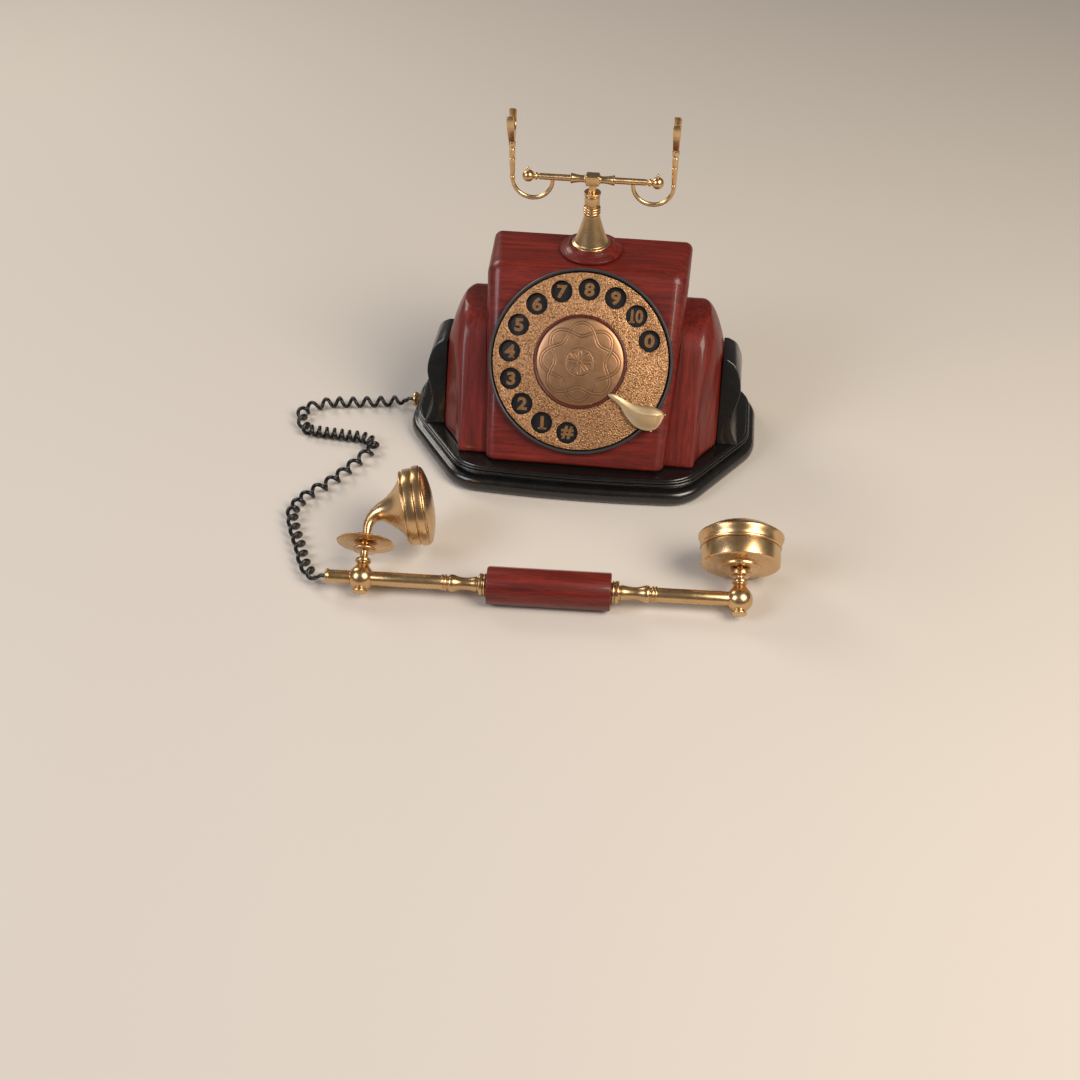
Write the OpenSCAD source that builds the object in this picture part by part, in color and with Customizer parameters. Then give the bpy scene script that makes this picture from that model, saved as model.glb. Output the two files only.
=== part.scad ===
// Antique-style desk telephone: a mahogany body on a black moulded plinth, a sloped
// rotary dial, a brass candlestick cradle, and the handset laid off its hook in front,
// joined to the plinth by a curly cord.
// Millimetres. +Z up, the dial faces -Y, and the origin is the middle of the underside.

/* [Plinth] */
// Half of the plinth's width
plinth_half_w = 110; // [100:1:125]
// Half of the plinth's depth, at the corners of its front edge
plinth_half_d = 77; // [72:1:90]
// Height of the plinth, from the table to its deck
plinth_h = 16.5; // [14:0.5:24]
// Half of the straight part of the front edge, between the corner cuts
plinth_half_front = 72; // [60:1:80]
// Half of the straight part of each side edge, between the corner cuts
plinth_half_side = 22; // [14:1:32]
// How far the front and back edges bow outwards in the middle
plinth_bow = 3; // [0:0.5:6]
// Rounding of the plinth's corners, seen from above
plinth_corner_r = 26; // [16:1:30]
// Thickness of the deck that the body stands on
deck_t = 4; // [3:0.5:6]
// Width of the plinth's wall under the moulding
plinth_wall = 13; // [11:0.5:16]
// Thickness of the felt under the plinth
felt_t = 1.2; // [0.8:0.1:2]
// Thickness of the steel base plate
base_plate_t = 1.4; // [1:0.1:2]

/* [Centre block] */
// Distance from the middle to the foot of the sloped front
block_front = 68.5; // [62:0.5:70]
// Distance from the middle to the back, at the foot
block_back = 57; // [54:0.5:62]
// Distance from the middle to the back, at the top
block_nape = 41; // [39:0.5:46]
// Height of the top above the table
block_top = 117; // [112:0.5:124]
// Half of the width at the foot
block_half_foot = 55; // [52:0.5:58]
// Half of the width at the top, as the sides flare
block_half_top = 62; // [59:0.5:66]
// Lean of the front, back from upright, in degrees
lean = 34; // [28:0.5:38]
// Wall of the wooden body
block_wall = 8; // [6:0.5:9]
// Rounding of the top front edge
brow_r = 10; // [8:0.5:14]
// Rounding of the top back edge
nape_r = 5; // [4:0.5:8]
// Rounding of the lower front corners, seen from the front
toe_r = 6.5; // [5:0.5:8]
// Rounding of the edges at the foot
foot_r = 3; // [1.5:0.5:3.5]

/* [Side blocks] */
// How far the side blocks' front lies behind the centre block's
side_step = 8; // [5:0.5:12]
// Height of the side blocks' top above the table
side_top = 88; // [80:0.5:94]
// Distance from the middle to the side blocks' outer face
side_half_w = 85.5; // [82:0.5:90]
// Distance from the middle to the side blocks' back, at the foot
side_back = 48; // [44:0.5:54]
// Distance from the middle to the side blocks' back, at the top
side_nape = 30; // [26:0.5:36]
// Width of the side blocks' lower outer part
outer_w = 9; // [7:0.5:12]
// Height of the outer part's top above the table
outer_top = 68; // [66:0.5:74]
// How far the outer part stands back, at the front and the back
outer_inset = 15; // [12:0.5:18]
// Rounding of the outer part's top edges
outer_top_r = 6; // [4:0.5:7]
// Rounding of the side blocks' shoulders
shoulder_r = 12; // [9:0.5:13]
// Rounding of the side blocks' other edges
side_edge_r = 3.5; // [2:0.5:4]
// How far the black cheeks stand out from the side blocks at their belly
cheek_belly = 11; // [8:0.5:13]
// Height of the cheeks above the deck
cheek_h = 48; // [36:1:54]
// Half of the cheeks' length, front to back
cheek_half_l = 24; // [16:1:27]
// Joint line left between pieces of wood
joint_gap = 0.1; // [0.05:0.05:0.3]

/* [Dial] */
// Distance up the sloped front from its foot to the dial's centre
dial_up = 65.8; // [63:0.2:68]
// Outside radius of the dial's rim
rim_r = 55.8; // [54:0.2:56.5]
// Width of the dial's rim
rim_w = 2; // [1.5:0.1:3]
// Height of the dial's rim above the wood
rim_h = 5; // [4.6:0.1:6]
// Thickness of the pan that carries the dial
pan_t = 1; // [0.8:0.1:1.4]
// Radius of the bore in the wood behind the dial
dial_bore_r = 46; // [44.5:0.5:47]
// Thickness of the number plate
number_plate_t = 1.2; // [0.8:0.1:1.4]
// Gap between the number plate and the finger wheel
wheel_gap = 1; // [0.6:0.1:1.4]
// Thickness of the finger wheel
wheel_t = 2.2; // [1.6:0.1:2.6]
// Gap between the finger wheel and the rim
wheel_side_gap = 0.8; // [0.5:0.1:1.2]
// Number of finger holes
finger_holes = 12; // [10:1:12]
// Angle between neighbouring finger holes, in degrees
finger_pitch = 22.1; // [21:0.1:23]
// Angle of the first finger hole, clockwise from the top, in degrees
finger_first = 69.5; // [66:0.5:72]
// Radius of a finger hole
finger_hole_r = 6.3; // [5.8:0.1:6.8]
// Radius of the circle that the finger holes stand on
finger_circle_r = 43.3; // [42:0.1:44.5]
// Radius of the centre disc
centre_disc_r = 26.4; // [24:0.2:27.5]
// Height of the centre disc's dome
centre_dome_h = 2.6; // [1.6:0.1:3]
// Width of the milled ring round the centre disc
centre_ring_w = 2; // [1.5:0.1:2.5]
// Thickness of the finger stop
stop_t = 1.8; // [1.2:0.1:2.4]
// Gap between the finger wheel and the finger stop
stop_gap = 2; // [1.5:0.1:2.6]

/* [Dial works] */
// Radius of the dial's shaft
shaft_r = 3; // [2.5:0.1:3.5]
// Running clearance of the shafts in their bearings
bearing_clear = 0.05; // [0.02:0.01:0.09]
// Depth of the pan's spigot into the bore
spigot_h = 6; // [4:0.5:7]
// Thickness of the works' plates
works_plate_t = 2; // [1.5:0.1:2.5]
// Distance between the works' plates
works_depth = 16; // [15.5:0.5:18]
// Radius of the works' back plate
works_back_r = 26; // [25:0.5:27]
// Tooth module of the gears
gear_module = 0.6; // [0.58:0.01:0.62]
// Teeth of the main gear
main_teeth = 60; // [60:12:60]
// Teeth of the governor's pinion
pinion_teeth = 12; // [12:12:12]
// Radius of the governor's spindle
spindle_r = 1; // [0.8:0.1:1.2]
// Thickness of the main gear
gear_t = 2; // [1.5:0.1:2.5]
// Radius of the governor's weights' circle
governor_r = 6.6; // [5.5:0.1:7]

/* [Pedestal and cradle] */
// Distance from the middle back to the pedestal's axis
pedestal_y = 21.5; // [20:0.5:23]
// Radius of the turned wooden rosette
rosette_r = 19; // [17:0.5:20]
// Height of the turned wooden rosette
rosette_h = 5; // [4:0.5:7]
// Radius of the brass cone's foot
cone_foot_r = 11.3; // [10:0.1:13]
// Height of the brass cone
cone_h = 20; // [16:0.5:24]
// Radius of the brass cone's top
cone_top_r = 4.2; // [4:0.1:6]
// Height of the ringed collar above the cone
collar_h = 5; // [4:0.5:10]
// Height of the barrel-shaped knop above the collar
knop_h = 7.8; // [5:0.1:8]
// Radius of the barrel-shaped knop
knop_r = 4.6; // [4.2:0.1:4.9]
// Height of the cap disc above the knop
cap_disc_h = 1.6; // [1:0.1:2]
// Radius of the plunger
plunger_r = 2.2; // [1.8:0.1:2.6]
// Travel of the cradle, from free down to pressed
hook_travel = 4; // [3:0.5:5]
// Free height between the cap disc and the cross block
hook_neck = 5.3; // [5.1:0.1:8]
// Side of the square cross block
cross_side = 8; // [7:0.5:9]
// Radius of the cross bar
bar_r = 1.9; // [1.7:0.1:2.2]
// Radius of the balls at the ends of the cross bar
ball_r = 3.5; // [3.1:0.1:3.8]
// Half of the distance between the forks
fork_half_span = 48.5; // [44:0.5:50]
// Radius of the scrolls' bend
scroll_r = 12.3; // [11:0.1:13]
// Radius of the scrolls' rod
scroll_rod_r = 1.15; // [0.9:0.05:1.6]
// Height of the forks' stems
stem_h = 22.7; // [18:0.1:28]
// Height of the forks' tines
tine_h = 18.6; // [16:0.1:22]
// Radius of the forks' notch
notch_r = 4.8; // [4.3:0.1:5.2]
// Thickness of the forks' tines
tine_t = 1.7; // [1.3:0.1:2.2]
// Width of the forks' tines at the top
tine_w = 4.9; // [4:0.1:7]

/* [Hook switch] */
// Depth of the hook bracket under the ceiling
hook_bracket_h = 20; // [18:1:22]
// Distance from the lever's pivot to the plunger
lever_arm = 12.5; // [12:0.5:13.5]
// Wire radius of the hook spring
spring_wire_r = 0.5; // [0.4:0.05:0.6]
// Curls of the hook spring
spring_curls = 5; // [4:1:6]

/* [Ringer] */
// Radius of the gongs
gong_r = 15; // [12:0.5:15.5]
// Height of the gongs
gong_h = 9; // [7:0.5:11]
// Half of the distance between the gongs' centres
gong_half_span = 19; // [18.5:0.5:21]
// Distance from the middle back to the gongs
gong_y = 22; // [18:0.5:24]
// Height of the gongs' rims above the base plate
gong_lift = 21; // [18:0.5:24]
// Radius of the ringer's coils
coil_r = 6; // [5:0.5:6.5]
// Length of the ringer's coils
coil_l = 17; // [14:0.5:18]
// Half of the distance between the ringer's coils
coil_half_span = 9; // [8:0.5:10]
// Radius of the clapper's ball
clapper_r = 2.5; // [2:0.1:2.6]

/* [Handset] */
// Distance between the two tees
tee_span = 213.8; // [205:0.2:224]
// Length of the wooden grip
grip_l = 70; // [60:1:78]
// Width of the grip across its flats
grip_w = 21; // [18:0.5:21]
// Flat sides of the grip
grip_sides = 10; // [8:2:12]
// Length of the turned collars beside the grip
collar_l = 26; // [22:0.5:30]
// Outside radius of the handset's tubes
tube_r = 4.05; // [3.6:0.05:4.2]
// Wall of the handset's tubes
tube_wall = 0.9; // [0.6:0.1:1.2]
// Radius of the tees' balls
tee_ball_r = 7.4; // [7:0.1:7.8]
// Length of the cord's ferrule
ferrule_l = 10.4; // [8:0.2:14]
// Tilt of the stalks above the table, in degrees
handset_tilt = 27.8; // [27.7:0.1:30]
// Height of the tubes' axis above the table
handset_z = 10.6; // [10.6:0.1:12]
// Radius of the mouthpiece's saucer
saucer_r = 16.8; // [15:0.2:17.4]
// Radius of the mouthpiece's bell
bell_r = 23.6; // [22:0.2:25]
// Depth of the mouthpiece's bell
bell_depth = 12; // [10:0.5:15]
// Angle of the mouthpiece's axis above the tubes, in degrees
bell_rise = 13; // [8:1:20]
// Radius of the horn's bend
horn_bend_r = 11.5; // [10:0.5:13]
// Radius of the horn at its foot
horn_foot_r = 2; // [1.8:0.1:3.6]
// Radius of the horn where it meets the bell
horn_mouth_r = 18; // [12:0.5:18.5]
// Radius of the earpiece's drum
drum_r = 22.4; // [20:0.2:23.4]
// Height of the earpiece's drum
drum_h = 10; // [6:0.5:11]
// Radius of the earpiece's cap
ear_cap_r = 24.4; // [23.6:0.1:24.5]
// Height of the ear cap with its dome
ear_cap_h = 16; // [14:0.5:20]
// Wall of the cup, bell and caps
cup_wall = 1.4; // [1:0.1:2]

/* [Cord] */
// Diameter of the cord's strand
strand_d = 2.4; // [1.8:0.1:2.6]
// Outside diameter of the cord's curls
curl_d = 8; // [7:0.1:8.2]

/* [Hidden] */
$fn = 64;

// Colours
mahogany = "#7a1f14";
black_lacquer = "#15110f";
brass = "#d8a441";
bronze = "#a9773a";
steel = "#8d9196";
fibre = "#6b4a2b";
copper = "#b0673a";

// Places worked out from the sizes above
flare = (block_half_top - block_half_foot) / (block_top - plinth_h);
dial_z = plinth_h + dial_up * cos(lean);
ceiling = block_top - block_wall;
plate_top = felt_t + base_plate_t;
plinth_ledge = 6;
plinth_foot_inset = plinth_wall - plinth_ledge;
wheel_bottom = pan_t + number_plate_t + wheel_gap;
wheel_top = wheel_bottom + wheel_t;
wheel_r = rim_r - rim_w - wheel_side_gap;
stop_z = wheel_top + stop_gap;
works_front = -spigot_h - works_plate_t;
works_back = works_front - works_depth;
gear_z = works_front - 5;
mesh_slack = 0.15;
gear_addendum = 0.8 * gear_module;
governor_x = gear_module * (main_teeth + pinion_teeth) / 2 + mesh_slack;
rosette_top = block_top + rosette_h;
cone_top = rosette_top + cone_h;
collar_top = cone_top + collar_h;
knop_top = collar_top + knop_h;
pedestal_top = knop_top + cap_disc_h;
cross_bottom = pedestal_top + hook_neck;
bar_z = cross_bottom + cross_side / 2;
scroll_z = bar_z - 3.2;
stem_top = scroll_z + stem_h;
bracket_z = ceiling - hook_bracket_h;
plunger_foot = bracket_z - 7;
lever_y = pedestal_y + lever_arm;
lever_top = plunger_foot - 0.3;
lever_drop = 2.2;
lever_z = lever_top - lever_drop;
spigot_end = ceiling - 5;
plunger_stop = spigot_end - 0.3;
gong_rim = plate_top + gong_lift;
gong_top = gong_rim + gong_h;
ringer_z = gong_rim + 3;
armature_y = -3.5;
armature_t = 2.2;
pole_gap = 0.9;
collar_start = (tee_span - grip_l) / 2 - collar_l;
tee_stub = tee_ball_r + 0.1;
ferrule_x = -(tee_stub + 2.7);
cord_end_x = ferrule_x - ferrule_l;
saucer_s = 19.5;
horn_foot_s = 21.5;
horn_bend_s = 30;
bell_run = 11.2;
bell_x = horn_bend_r * (1 - cos(90 - bell_rise)) + bell_run * cos(bell_rise);
bell_s = horn_bend_s + horn_bend_r * sin(90 - bell_rise) + bell_run * sin(bell_rise);
ear_cup_s = 17.6;
drum_s = 20;
ear_cap_s = drum_s + drum_h;
handset_place = [-109.5, -173, 0];
handset_turn = 2.3;
gland_place = [-plinth_half_w - 3.5, 5, 7];
curl_r = (curl_d - strand_d) / 2;
cord_clear = 0.3;
curls_per_step = 2;
rings_per_curl = 8;
strand_sides = 6;
// The cord's route on the table, one step for every two curls
route = [
    [-118, 5, 4.9], [-134, 3, 4.2], [-152, 0, 4.2], [-169, -3, 4.2], [-183, -14, 4.2],
    [-177, -31, 4.2], [-167, -34, 4.2], [-157, -35, 4.2], [-147, -36, 4.2], [-137, -37, 4.2],
    [-130, -45, 4.2], [-138, -64, 4.2], [-148, -82, 4.2], [-160, -98, 4.2], [-165, -113, 4.2],
    [-160, -129, 4.2], [-153, -144, 4.2], [-146, -160, 4.5], [-137, -173, 6.6]
];

// Half of the centre block's width at a height
function side_x(z) = block_half_foot + (z - plinth_h) * flare;
// Front of the sloped face at a height, for a face whose foot is at a distance
function face_y(z, front) = (z - plinth_h) * tan(lean) - front;
// Back of a block at a height, leaning from its foot to its nape
function back_y(z, foot, nape, top) = foot + (nape - foot) * (z - plinth_h) / (top - plinth_h);
// Arc of a radius that rounds the corner b between a and c
function rounded(a, b, c, r) =
    let (
        u = unit(a - b), v = unit(c - b), half = acos(u * v) / 2,
        centre = b + r / sin(half) * unit(u + v),
        from = b + r / tan(half) * u - centre, to = b + r / tan(half) * v - centre
    )
    [for (t = [0:0.25:1]) centre + r * unit((1 - t) * from + t * to)];
// Closed outline of the plinth, moved inwards
function plinth_outline(inset) =
    let (
        corner = atan2(plinth_half_d - plinth_half_side, plinth_half_w - plinth_half_front),
        front = plinth_half_front - inset * tan(corner / 2),
        side = plinth_half_side - inset * tan(45 - corner / 2),
        d = plinth_half_d - inset,
        w = plinth_half_w - inset,
        bow = [for (t = [-0.75:0.25:0.75]) [front * t, -d - plinth_bow * (1 - t * t)]],
        r = max(plinth_corner_r - inset, 1),
        right = concat(
            rounded(bow[6], [front, -d], [w, -side], r), rounded([front, -d], [w, -side], [w, side], r)
        ),
        half = concat(bow, right)
    )
    concat(
        half, [for (i = [len(right) - 1:-1:0]) [right[i][0], -right[i][1]]],
        [for (i = [len(half) - 1:-1:0]) if (i < 7) [bow[i][0], -bow[i][1]]],
        [for (q = right) [-q[0], -q[1]]], [for (i = [len(right) - 1:-1:0]) [-right[i][0], right[i][1]]]
    );
// Rounded moulding between two heights: [inset, height] pairs
function bead(z0, z1, inset, depth) =
    [for (a = [-75:30:75]) [inset + depth * (1 - cos(a)), (z0 + z1) / 2 + (z1 - z0) / 2 * sin(a)]];
function unit(v) = v / norm(v);
// Smooth route through points, between point i and the next
function spline(p, i, t) =
    let (
        a = p[max(i - 1, 0)], b = p[i], c = p[min(i + 1, len(p) - 1)], d = p[min(i + 2, len(p) - 1)]
    )
    0.5 * (2 * b + (c - a) * t + (2 * a - 5 * b + 4 * c - d) * t * t + (3 * b - a - 3 * c + d) * t * t * t);
// Rings of a round tube along a line of points, each with a direction across the tube
function tube_rings(p, across, r, sides) = [
    for (i = [0:len(p) - 1])
        let (
            t = unit(p[min(i + 1, len(p) - 1)] - p[max(i - 1, 0)]),
            side = unit(cross(t, across[i])),
            up = cross(t, side)
        )
        [for (k = [0:sides - 1]) p[i] + r * (cos(360 * k / sides) * side + sin(360 * k / sides) * up)]
];
// Point at a radius, at an angle measured clockwise from the top of the dial
function on_dial(r, a) = [r * sin(a), r * cos(a)];
function polar(r, a) = [r * cos(a), r * sin(a)];
// Outline of a gear with plain tapered teeth
function gear_outline(teeth) =
    let (pitch_r = gear_module * teeth / 2, root = pitch_r - 1.2 * gear_module,
        tip = pitch_r + gear_addendum)
    [for (i = [0:teeth - 1]) each [
        polar(root, (i - 0.27) * 360 / teeth), polar(tip, (i - 0.1) * 360 / teeth),
        polar(tip, (i + 0.1) * 360 / teeth), polar(root, (i + 0.27) * 360 / teeth)
    ]];

// Skin over a stack of rings with equal numbers of points
module loft(rings) {
    n = len(rings[0]);
    m = len(rings);
    polyhedron(
        points = [for (ring = rings) each ring],
        faces = concat(
            [[for (j = [0:n - 1]) j]],
            [for (i = [0:m - 2], j = [0:n - 1]) [i * n + j, (i + 1) * n + j, (i + 1) * n + (j + 1) % n]],
            [for (i = [0:m - 2], j = [0:n - 1]) [i * n + j, (i + 1) * n + (j + 1) % n,
            i * n + (j + 1) % n]],
            [[for (j = [n - 1:-1:0]) (m - 1) * n + j]]
        )
    );
}
// Solid turned about +Z from [radius, height] pairs
module turned(profile) { rotate_extrude() polygon(profile); }
// Pipe between two heights
module pipe(r, bore, z0, z1) {
    translate([0, 0, z0]) difference() {
        cylinder(h = z1 - z0, r = r);
        translate([0, 0, -1]) cylinder(h = z1 - z0 + 2, r = bore);
    }
}
// Box between two corners
module block(a, b) { translate(a) cube(b - a); }
// Frame of the dial: +Z out of the sloped face, +Y up it
module at_dial() {
    translate([0, face_y(dial_z, block_front), dial_z]) rotate([90 - lean, 0, 0]) children();
}
// Frame of the handset: +X along its tubes, +Z along its stalks
module at_handset() {
    translate(handset_place + [0, 0, handset_z]) rotate([0, 0, handset_turn])
        rotate([handset_tilt - 90, 0, 0]) children();
}
module both_sides() { for (m = [0, 1]) mirror([m, 0, 0]) children(); }

// ---- Plinth ----
foot_lift = 0.4;
roll_top = 0.6 * plinth_h;
cove_top = 0.76 * plinth_h;
bead_mid = 0.87 * plinth_h;
bead_top = 0.97 * plinth_h;
plinth_profile = concat(
    [[3, foot_lift]], bead(foot_lift, roll_top, 0, 3),
    [[5.2, roll_top + 0.3], [6.4, (roll_top + cove_top) / 2], [5.6, cove_top - 0.1]],
    bead(cove_top, bead_mid, 4, 1), bead(bead_mid, bead_top, 4.6, 1), [[6.4, plinth_h]]
);
deck_hole_x = 46;
deck_hole_front = 54;
deck_hole_back = 38;
screw_r = 1.2;
screw_head_r = 2.2;
screw_x = 56;
screw_inset = plinth_foot_inset + screw_head_r + 1;
screw_places = concat(
    [for (sx = [-1, 1], sy = [-1, 1]) [sx * screw_x, sy * (plinth_half_d - screw_inset)]],
    [for (sx = [-1, 1]) [sx * (plinth_half_w - screw_inset), -11]]
);
socket_x = 35;
socket_half_w = 7;
socket_front = plinth_half_d - plinth_wall - 2;
socket_back = plinth_half_d + 1;
socket_z = 3.6;
socket_h = 8;
gland_r = 3.5;
gland_flange_r = 4.8;
gland_t = 3.5;

module base_felt() color("#2c2a28") difference() {
    linear_extrude(felt_t) polygon(plinth_outline(plinth_foot_inset + joint_gap));
    for (p = screw_places) translate([p[0], p[1], -1]) cylinder(h = felt_t + 2, r = screw_head_r + 0.4);
}
module base_plate() color(steel) difference() {
    translate([0, 0, felt_t]) linear_extrude(base_plate_t)
        polygon(plinth_outline(plinth_foot_inset + joint_gap));
    for (p = screw_places) translate([p[0], p[1], 0])
        cylinder(h = plate_top + 1, r = screw_r + bearing_clear);
}
module plate_screws() color(steel) for (p = screw_places) translate([p[0], p[1], 0]) {
    translate([0, 0, felt_t - 0.8]) cylinder(h = 0.8, r = screw_head_r);
    translate([0, 0, felt_t - 0.4]) cylinder(h = 8, r = screw_r);
}
module plinth() color(black_lacquer) difference() {
    loft([for (q = plinth_profile) [for (p = plinth_outline(q[0])) [p[0], p[1], q[1]]]]);
    translate([0, 0, -1]) linear_extrude(plate_top + 1) polygon(plinth_outline(plinth_foot_inset));
    linear_extrude(plinth_h - deck_t) polygon(plinth_outline(plinth_wall));
    block([-deck_hole_x, -deck_hole_front, 0], [deck_hole_x, deck_hole_back, plinth_h + 1]);
    for (p = screw_places) translate([p[0], p[1], 0]) cylinder(h = felt_t + 8, r = screw_r + bearing_clear);
    block(
        [socket_x - socket_half_w - joint_gap, socket_front - 2, socket_z - joint_gap],
        [socket_x + socket_half_w + joint_gap, socket_back + 9, socket_z + socket_h + joint_gap]
    );
    translate([gland_place[0], gland_place[1], gland_place[2]]) rotate([0, 90, 0])
        cylinder(h = gland_t + plinth_wall + 2, r = gland_r + bearing_clear);
}
module line_socket() color("#1d1b1a") difference() {
    block(
        [socket_x - socket_half_w, socket_front, socket_z],
        [socket_x + socket_half_w, socket_back, socket_z + socket_h]
    );
    block(
        [socket_x - socket_half_w + 1.5, socket_front + 3, socket_z + 1.2],
        [socket_x + socket_half_w - 1.5, socket_back + 1, socket_z + socket_h - 1.2]
    );
}
module cord_gland() color(brass) translate(gland_place) rotate([0, 90, 0]) {
    cylinder(h = gland_t, r = gland_flange_r);
    cylinder(h = gland_t + plinth_wall + 1, r = gland_r);
}

// ---- Case ----
side_front = block_front - side_step;
coin_r = toe_r - foot_r;
flare_slant = sqrt(1 + flare * flare);
deck_hole_margin = 1;

module centre_block() color(mahogany) difference() {
    hull() both_sides() {
        for (z = [plinth_h + foot_r]) translate([
            side_x(z) - toe_r * flare_slant, face_y(z, block_front) + coin_r + foot_r / cos(lean), z
        ]) rotate_extrude($fn = 32) translate([coin_r, 0]) circle(foot_r, $fn = 24);
        for (z = [plinth_h + foot_r]) translate([
            side_x(z) - foot_r * flare_slant, back_y(z, block_back, block_nape, block_top) - foot_r, z
        ]) sphere(foot_r, $fn = 32);
        for (z = [block_top - brow_r]) translate([
            side_x(z) - brow_r * flare_slant, face_y(z, block_front) + brow_r / cos(lean), z
        ]) sphere(brow_r, $fn = 64);
        for (z = [block_top - nape_r]) translate([
            side_x(z) - nape_r * flare_slant, back_y(z, block_back, block_nape, block_top) - nape_r, z
        ]) sphere(nape_r, $fn = 48);
    }
    translate([-(block_half_foot - block_wall), 0, 0]) rotate([90, 0, 90])
        linear_extrude(2 * (block_half_foot - block_wall)) polygon([
            [face_y(plinth_h - 1, block_front - block_wall / cos(lean)), plinth_h - 1],
            [face_y(ceiling, block_front - block_wall / cos(lean)), ceiling],
            [back_y(ceiling, block_back, block_nape, block_top) - block_wall, ceiling],
            [block_back - block_wall, plinth_h - 1]
        ]);
    at_dial() translate([0, 0, -block_wall - 2]) cylinder(h = block_wall + 22, r = dial_bore_r);
    translate([0, pedestal_y, ceiling - 1]) cylinder(h = block_wall + 2, r = spigot_r + bearing_clear);
}
// Upright part of a side block, from inside the centre block out to a distance, with rounded edges
module side_pillar(x_out, inset, top, foot_edge_r, top_edge_r) {
    hull() for (level = [[plinth_h + foot_edge_r, foot_edge_r], [top - top_edge_r, top_edge_r]]) {
        z = level[0];
        r = level[1];
        front = face_y(z, side_front) + inset + r / cos(lean);
        back = back_y(z, side_back, side_nape, side_top) - inset - r;
        for (x = [block_half_foot - 6, x_out - r], y = [front, back])
            translate([x, y, z]) sphere(r, $fn = 32);
    }
}
// One side block, on +X: a tall inner part and a lower outer part
module side_block() difference() {
    union() {
        side_pillar(side_half_w - outer_w, 0, side_top, side_edge_r, shoulder_r);
        side_pillar(side_half_w, outer_inset, outer_top, side_edge_r, outer_top_r);
    }
    translate([0, side_back + 20, 0]) rotate([90, 0, 0]) linear_extrude(side_back + side_front + 40)
        polygon([
            [0, 0], [side_x(0) + joint_gap, 0],
            [side_x(side_top + 5) + joint_gap, side_top + 5], [0, side_top + 5]
        ]);
}
module side_block_left() color(mahogany) mirror([1, 0, 0]) side_block();
module side_block_right() color(mahogany) side_block();

cheek_y = -7;
cheek_top = plinth_h + cheek_h;
cheek_x = side_half_w + joint_gap;
// The cheek's swelling outline, as shares of its belly and height
cheek_line = [
    [1.2, 0], [0.88, 0.12], [0.75, 0.24], [0.88, 0.4], [1.08, 0.55], [1.13, 0.66], [1, 0.8],
    [0.72, 0.93], [0.25, 1]
];
module cheek() intersection() {
    translate([0, 80, 0]) rotate([90, 0, 0]) linear_extrude(160) polygon(concat(
        [[cheek_x, cheek_top], [cheek_x, plinth_h]],
        [for (i = [0:len(cheek_line) - 2], t = [0:0.25:0.8])
            let (p = spline(cheek_line, i, t)) [cheek_x + p[0] * cheek_belly, plinth_h + p[1] * cheek_h]],
        [[cheek_x + 0.25 * cheek_belly, cheek_top]]
    ));
    translate([side_half_w - 1, 0, 0]) rotate([90, 0, 90]) linear_extrude(2 * cheek_belly) polygon([
        [cheek_y - cheek_half_l - 1, plinth_h - 1], [cheek_y + cheek_half_l + 1, plinth_h - 1],
        [back_y(cheek_top, side_back, side_nape, side_top) - outer_inset - 5, cheek_top + 1],
        [face_y(cheek_top, side_front) + outer_inset + 5, cheek_top + 1]
    ]);
}
module cheek_left() color(black_lacquer) mirror([1, 0, 0]) cheek();
module cheek_right() color(black_lacquer) cheek();

// ---- Dial ----
boss_r = 6.2;
pan_hole_r = boss_r + 0.5;
shoulder_wide = 5;
shaft_end = works_back - works_plate_t - 6;
post_r = 2;
post_circle_r = works_back_r - 3.5;
stop_post_r = 1.6;
stop_post = [48.8, -31.7];
// Leaf-shaped finger stop, seen from the front, tip first
stop_outline = [
    [15.4, -18.3], [23.8, -21.4], [34.5, -24.7], [41.4, -23.8], [43.7, -28.2], [51, -31.6],
    [42.4, -43], [36, -41], [29.2, -35.9], [25.3, -28.2]
];

module dial_pan() color("#3b3a3d") at_dial() {
    pipe(rim_r, pan_hole_r, 0, pan_t);
    pipe(rim_r, rim_r - rim_w, pan_t / 2, rim_h);
    pipe(dial_bore_r - 0.2, dial_bore_r - 2, -spigot_h, pan_t / 2);
}
module number_plate() color("#14110f") at_dial()
    pipe(rim_r - rim_w - 0.1, pan_hole_r, pan_t, pan_t + number_plate_t);
module finger_stop() color(brass) at_dial() {
    translate([0, 0, stop_z]) linear_extrude(stop_t) polygon([
        for (i = [0:len(stop_outline) - 2], t = [0:0.25:0.8]) spline(stop_outline, i, t)
    ]);
    translate([stop_post[0], stop_post[1], 0]) cylinder(h = stop_z + stop_t / 2, r = stop_post_r);
}
module works_frame() color(brass) at_dial() difference() {
    union() {
        translate([0, 0, works_front]) cylinder(h = works_plate_t, r = dial_bore_r - 2 - joint_gap);
        translate([0, 0, works_front]) cylinder(h = works_plate_t + spigot_h - 2, r = boss_r);
        for (a = [90, 210, 330]) rotate([0, 0, a]) translate([post_circle_r, 0, works_back])
            cylinder(h = works_depth + 0.5, r = post_r);
        translate([0, 0, works_back - works_plate_t]) cylinder(h = works_plate_t, r = works_back_r);
    }
    translate([0, 0, works_back - 10]) cylinder(h = works_depth + 30, r = shaft_r + bearing_clear);
    translate([governor_x, 0, works_back - 10]) cylinder(h = works_depth + 20,
        r = spindle_r + bearing_clear);
}
module pulse_contacts() color(fibre) at_dial() {
    block([governor_x - 2.5, 6.4, works_front - 11], [governor_x + 2.5, 10, works_front]);
    for (y = [10.6, 12.2]) block([governor_x - 1.5, y, works_front - 9],
        [governor_x + 1.5, y + 0.6, works_front]);
    block([governor_x - 1.5, 10, works_front - 3], [governor_x + 1.5, 12.8, works_front - 1]);
}
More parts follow.
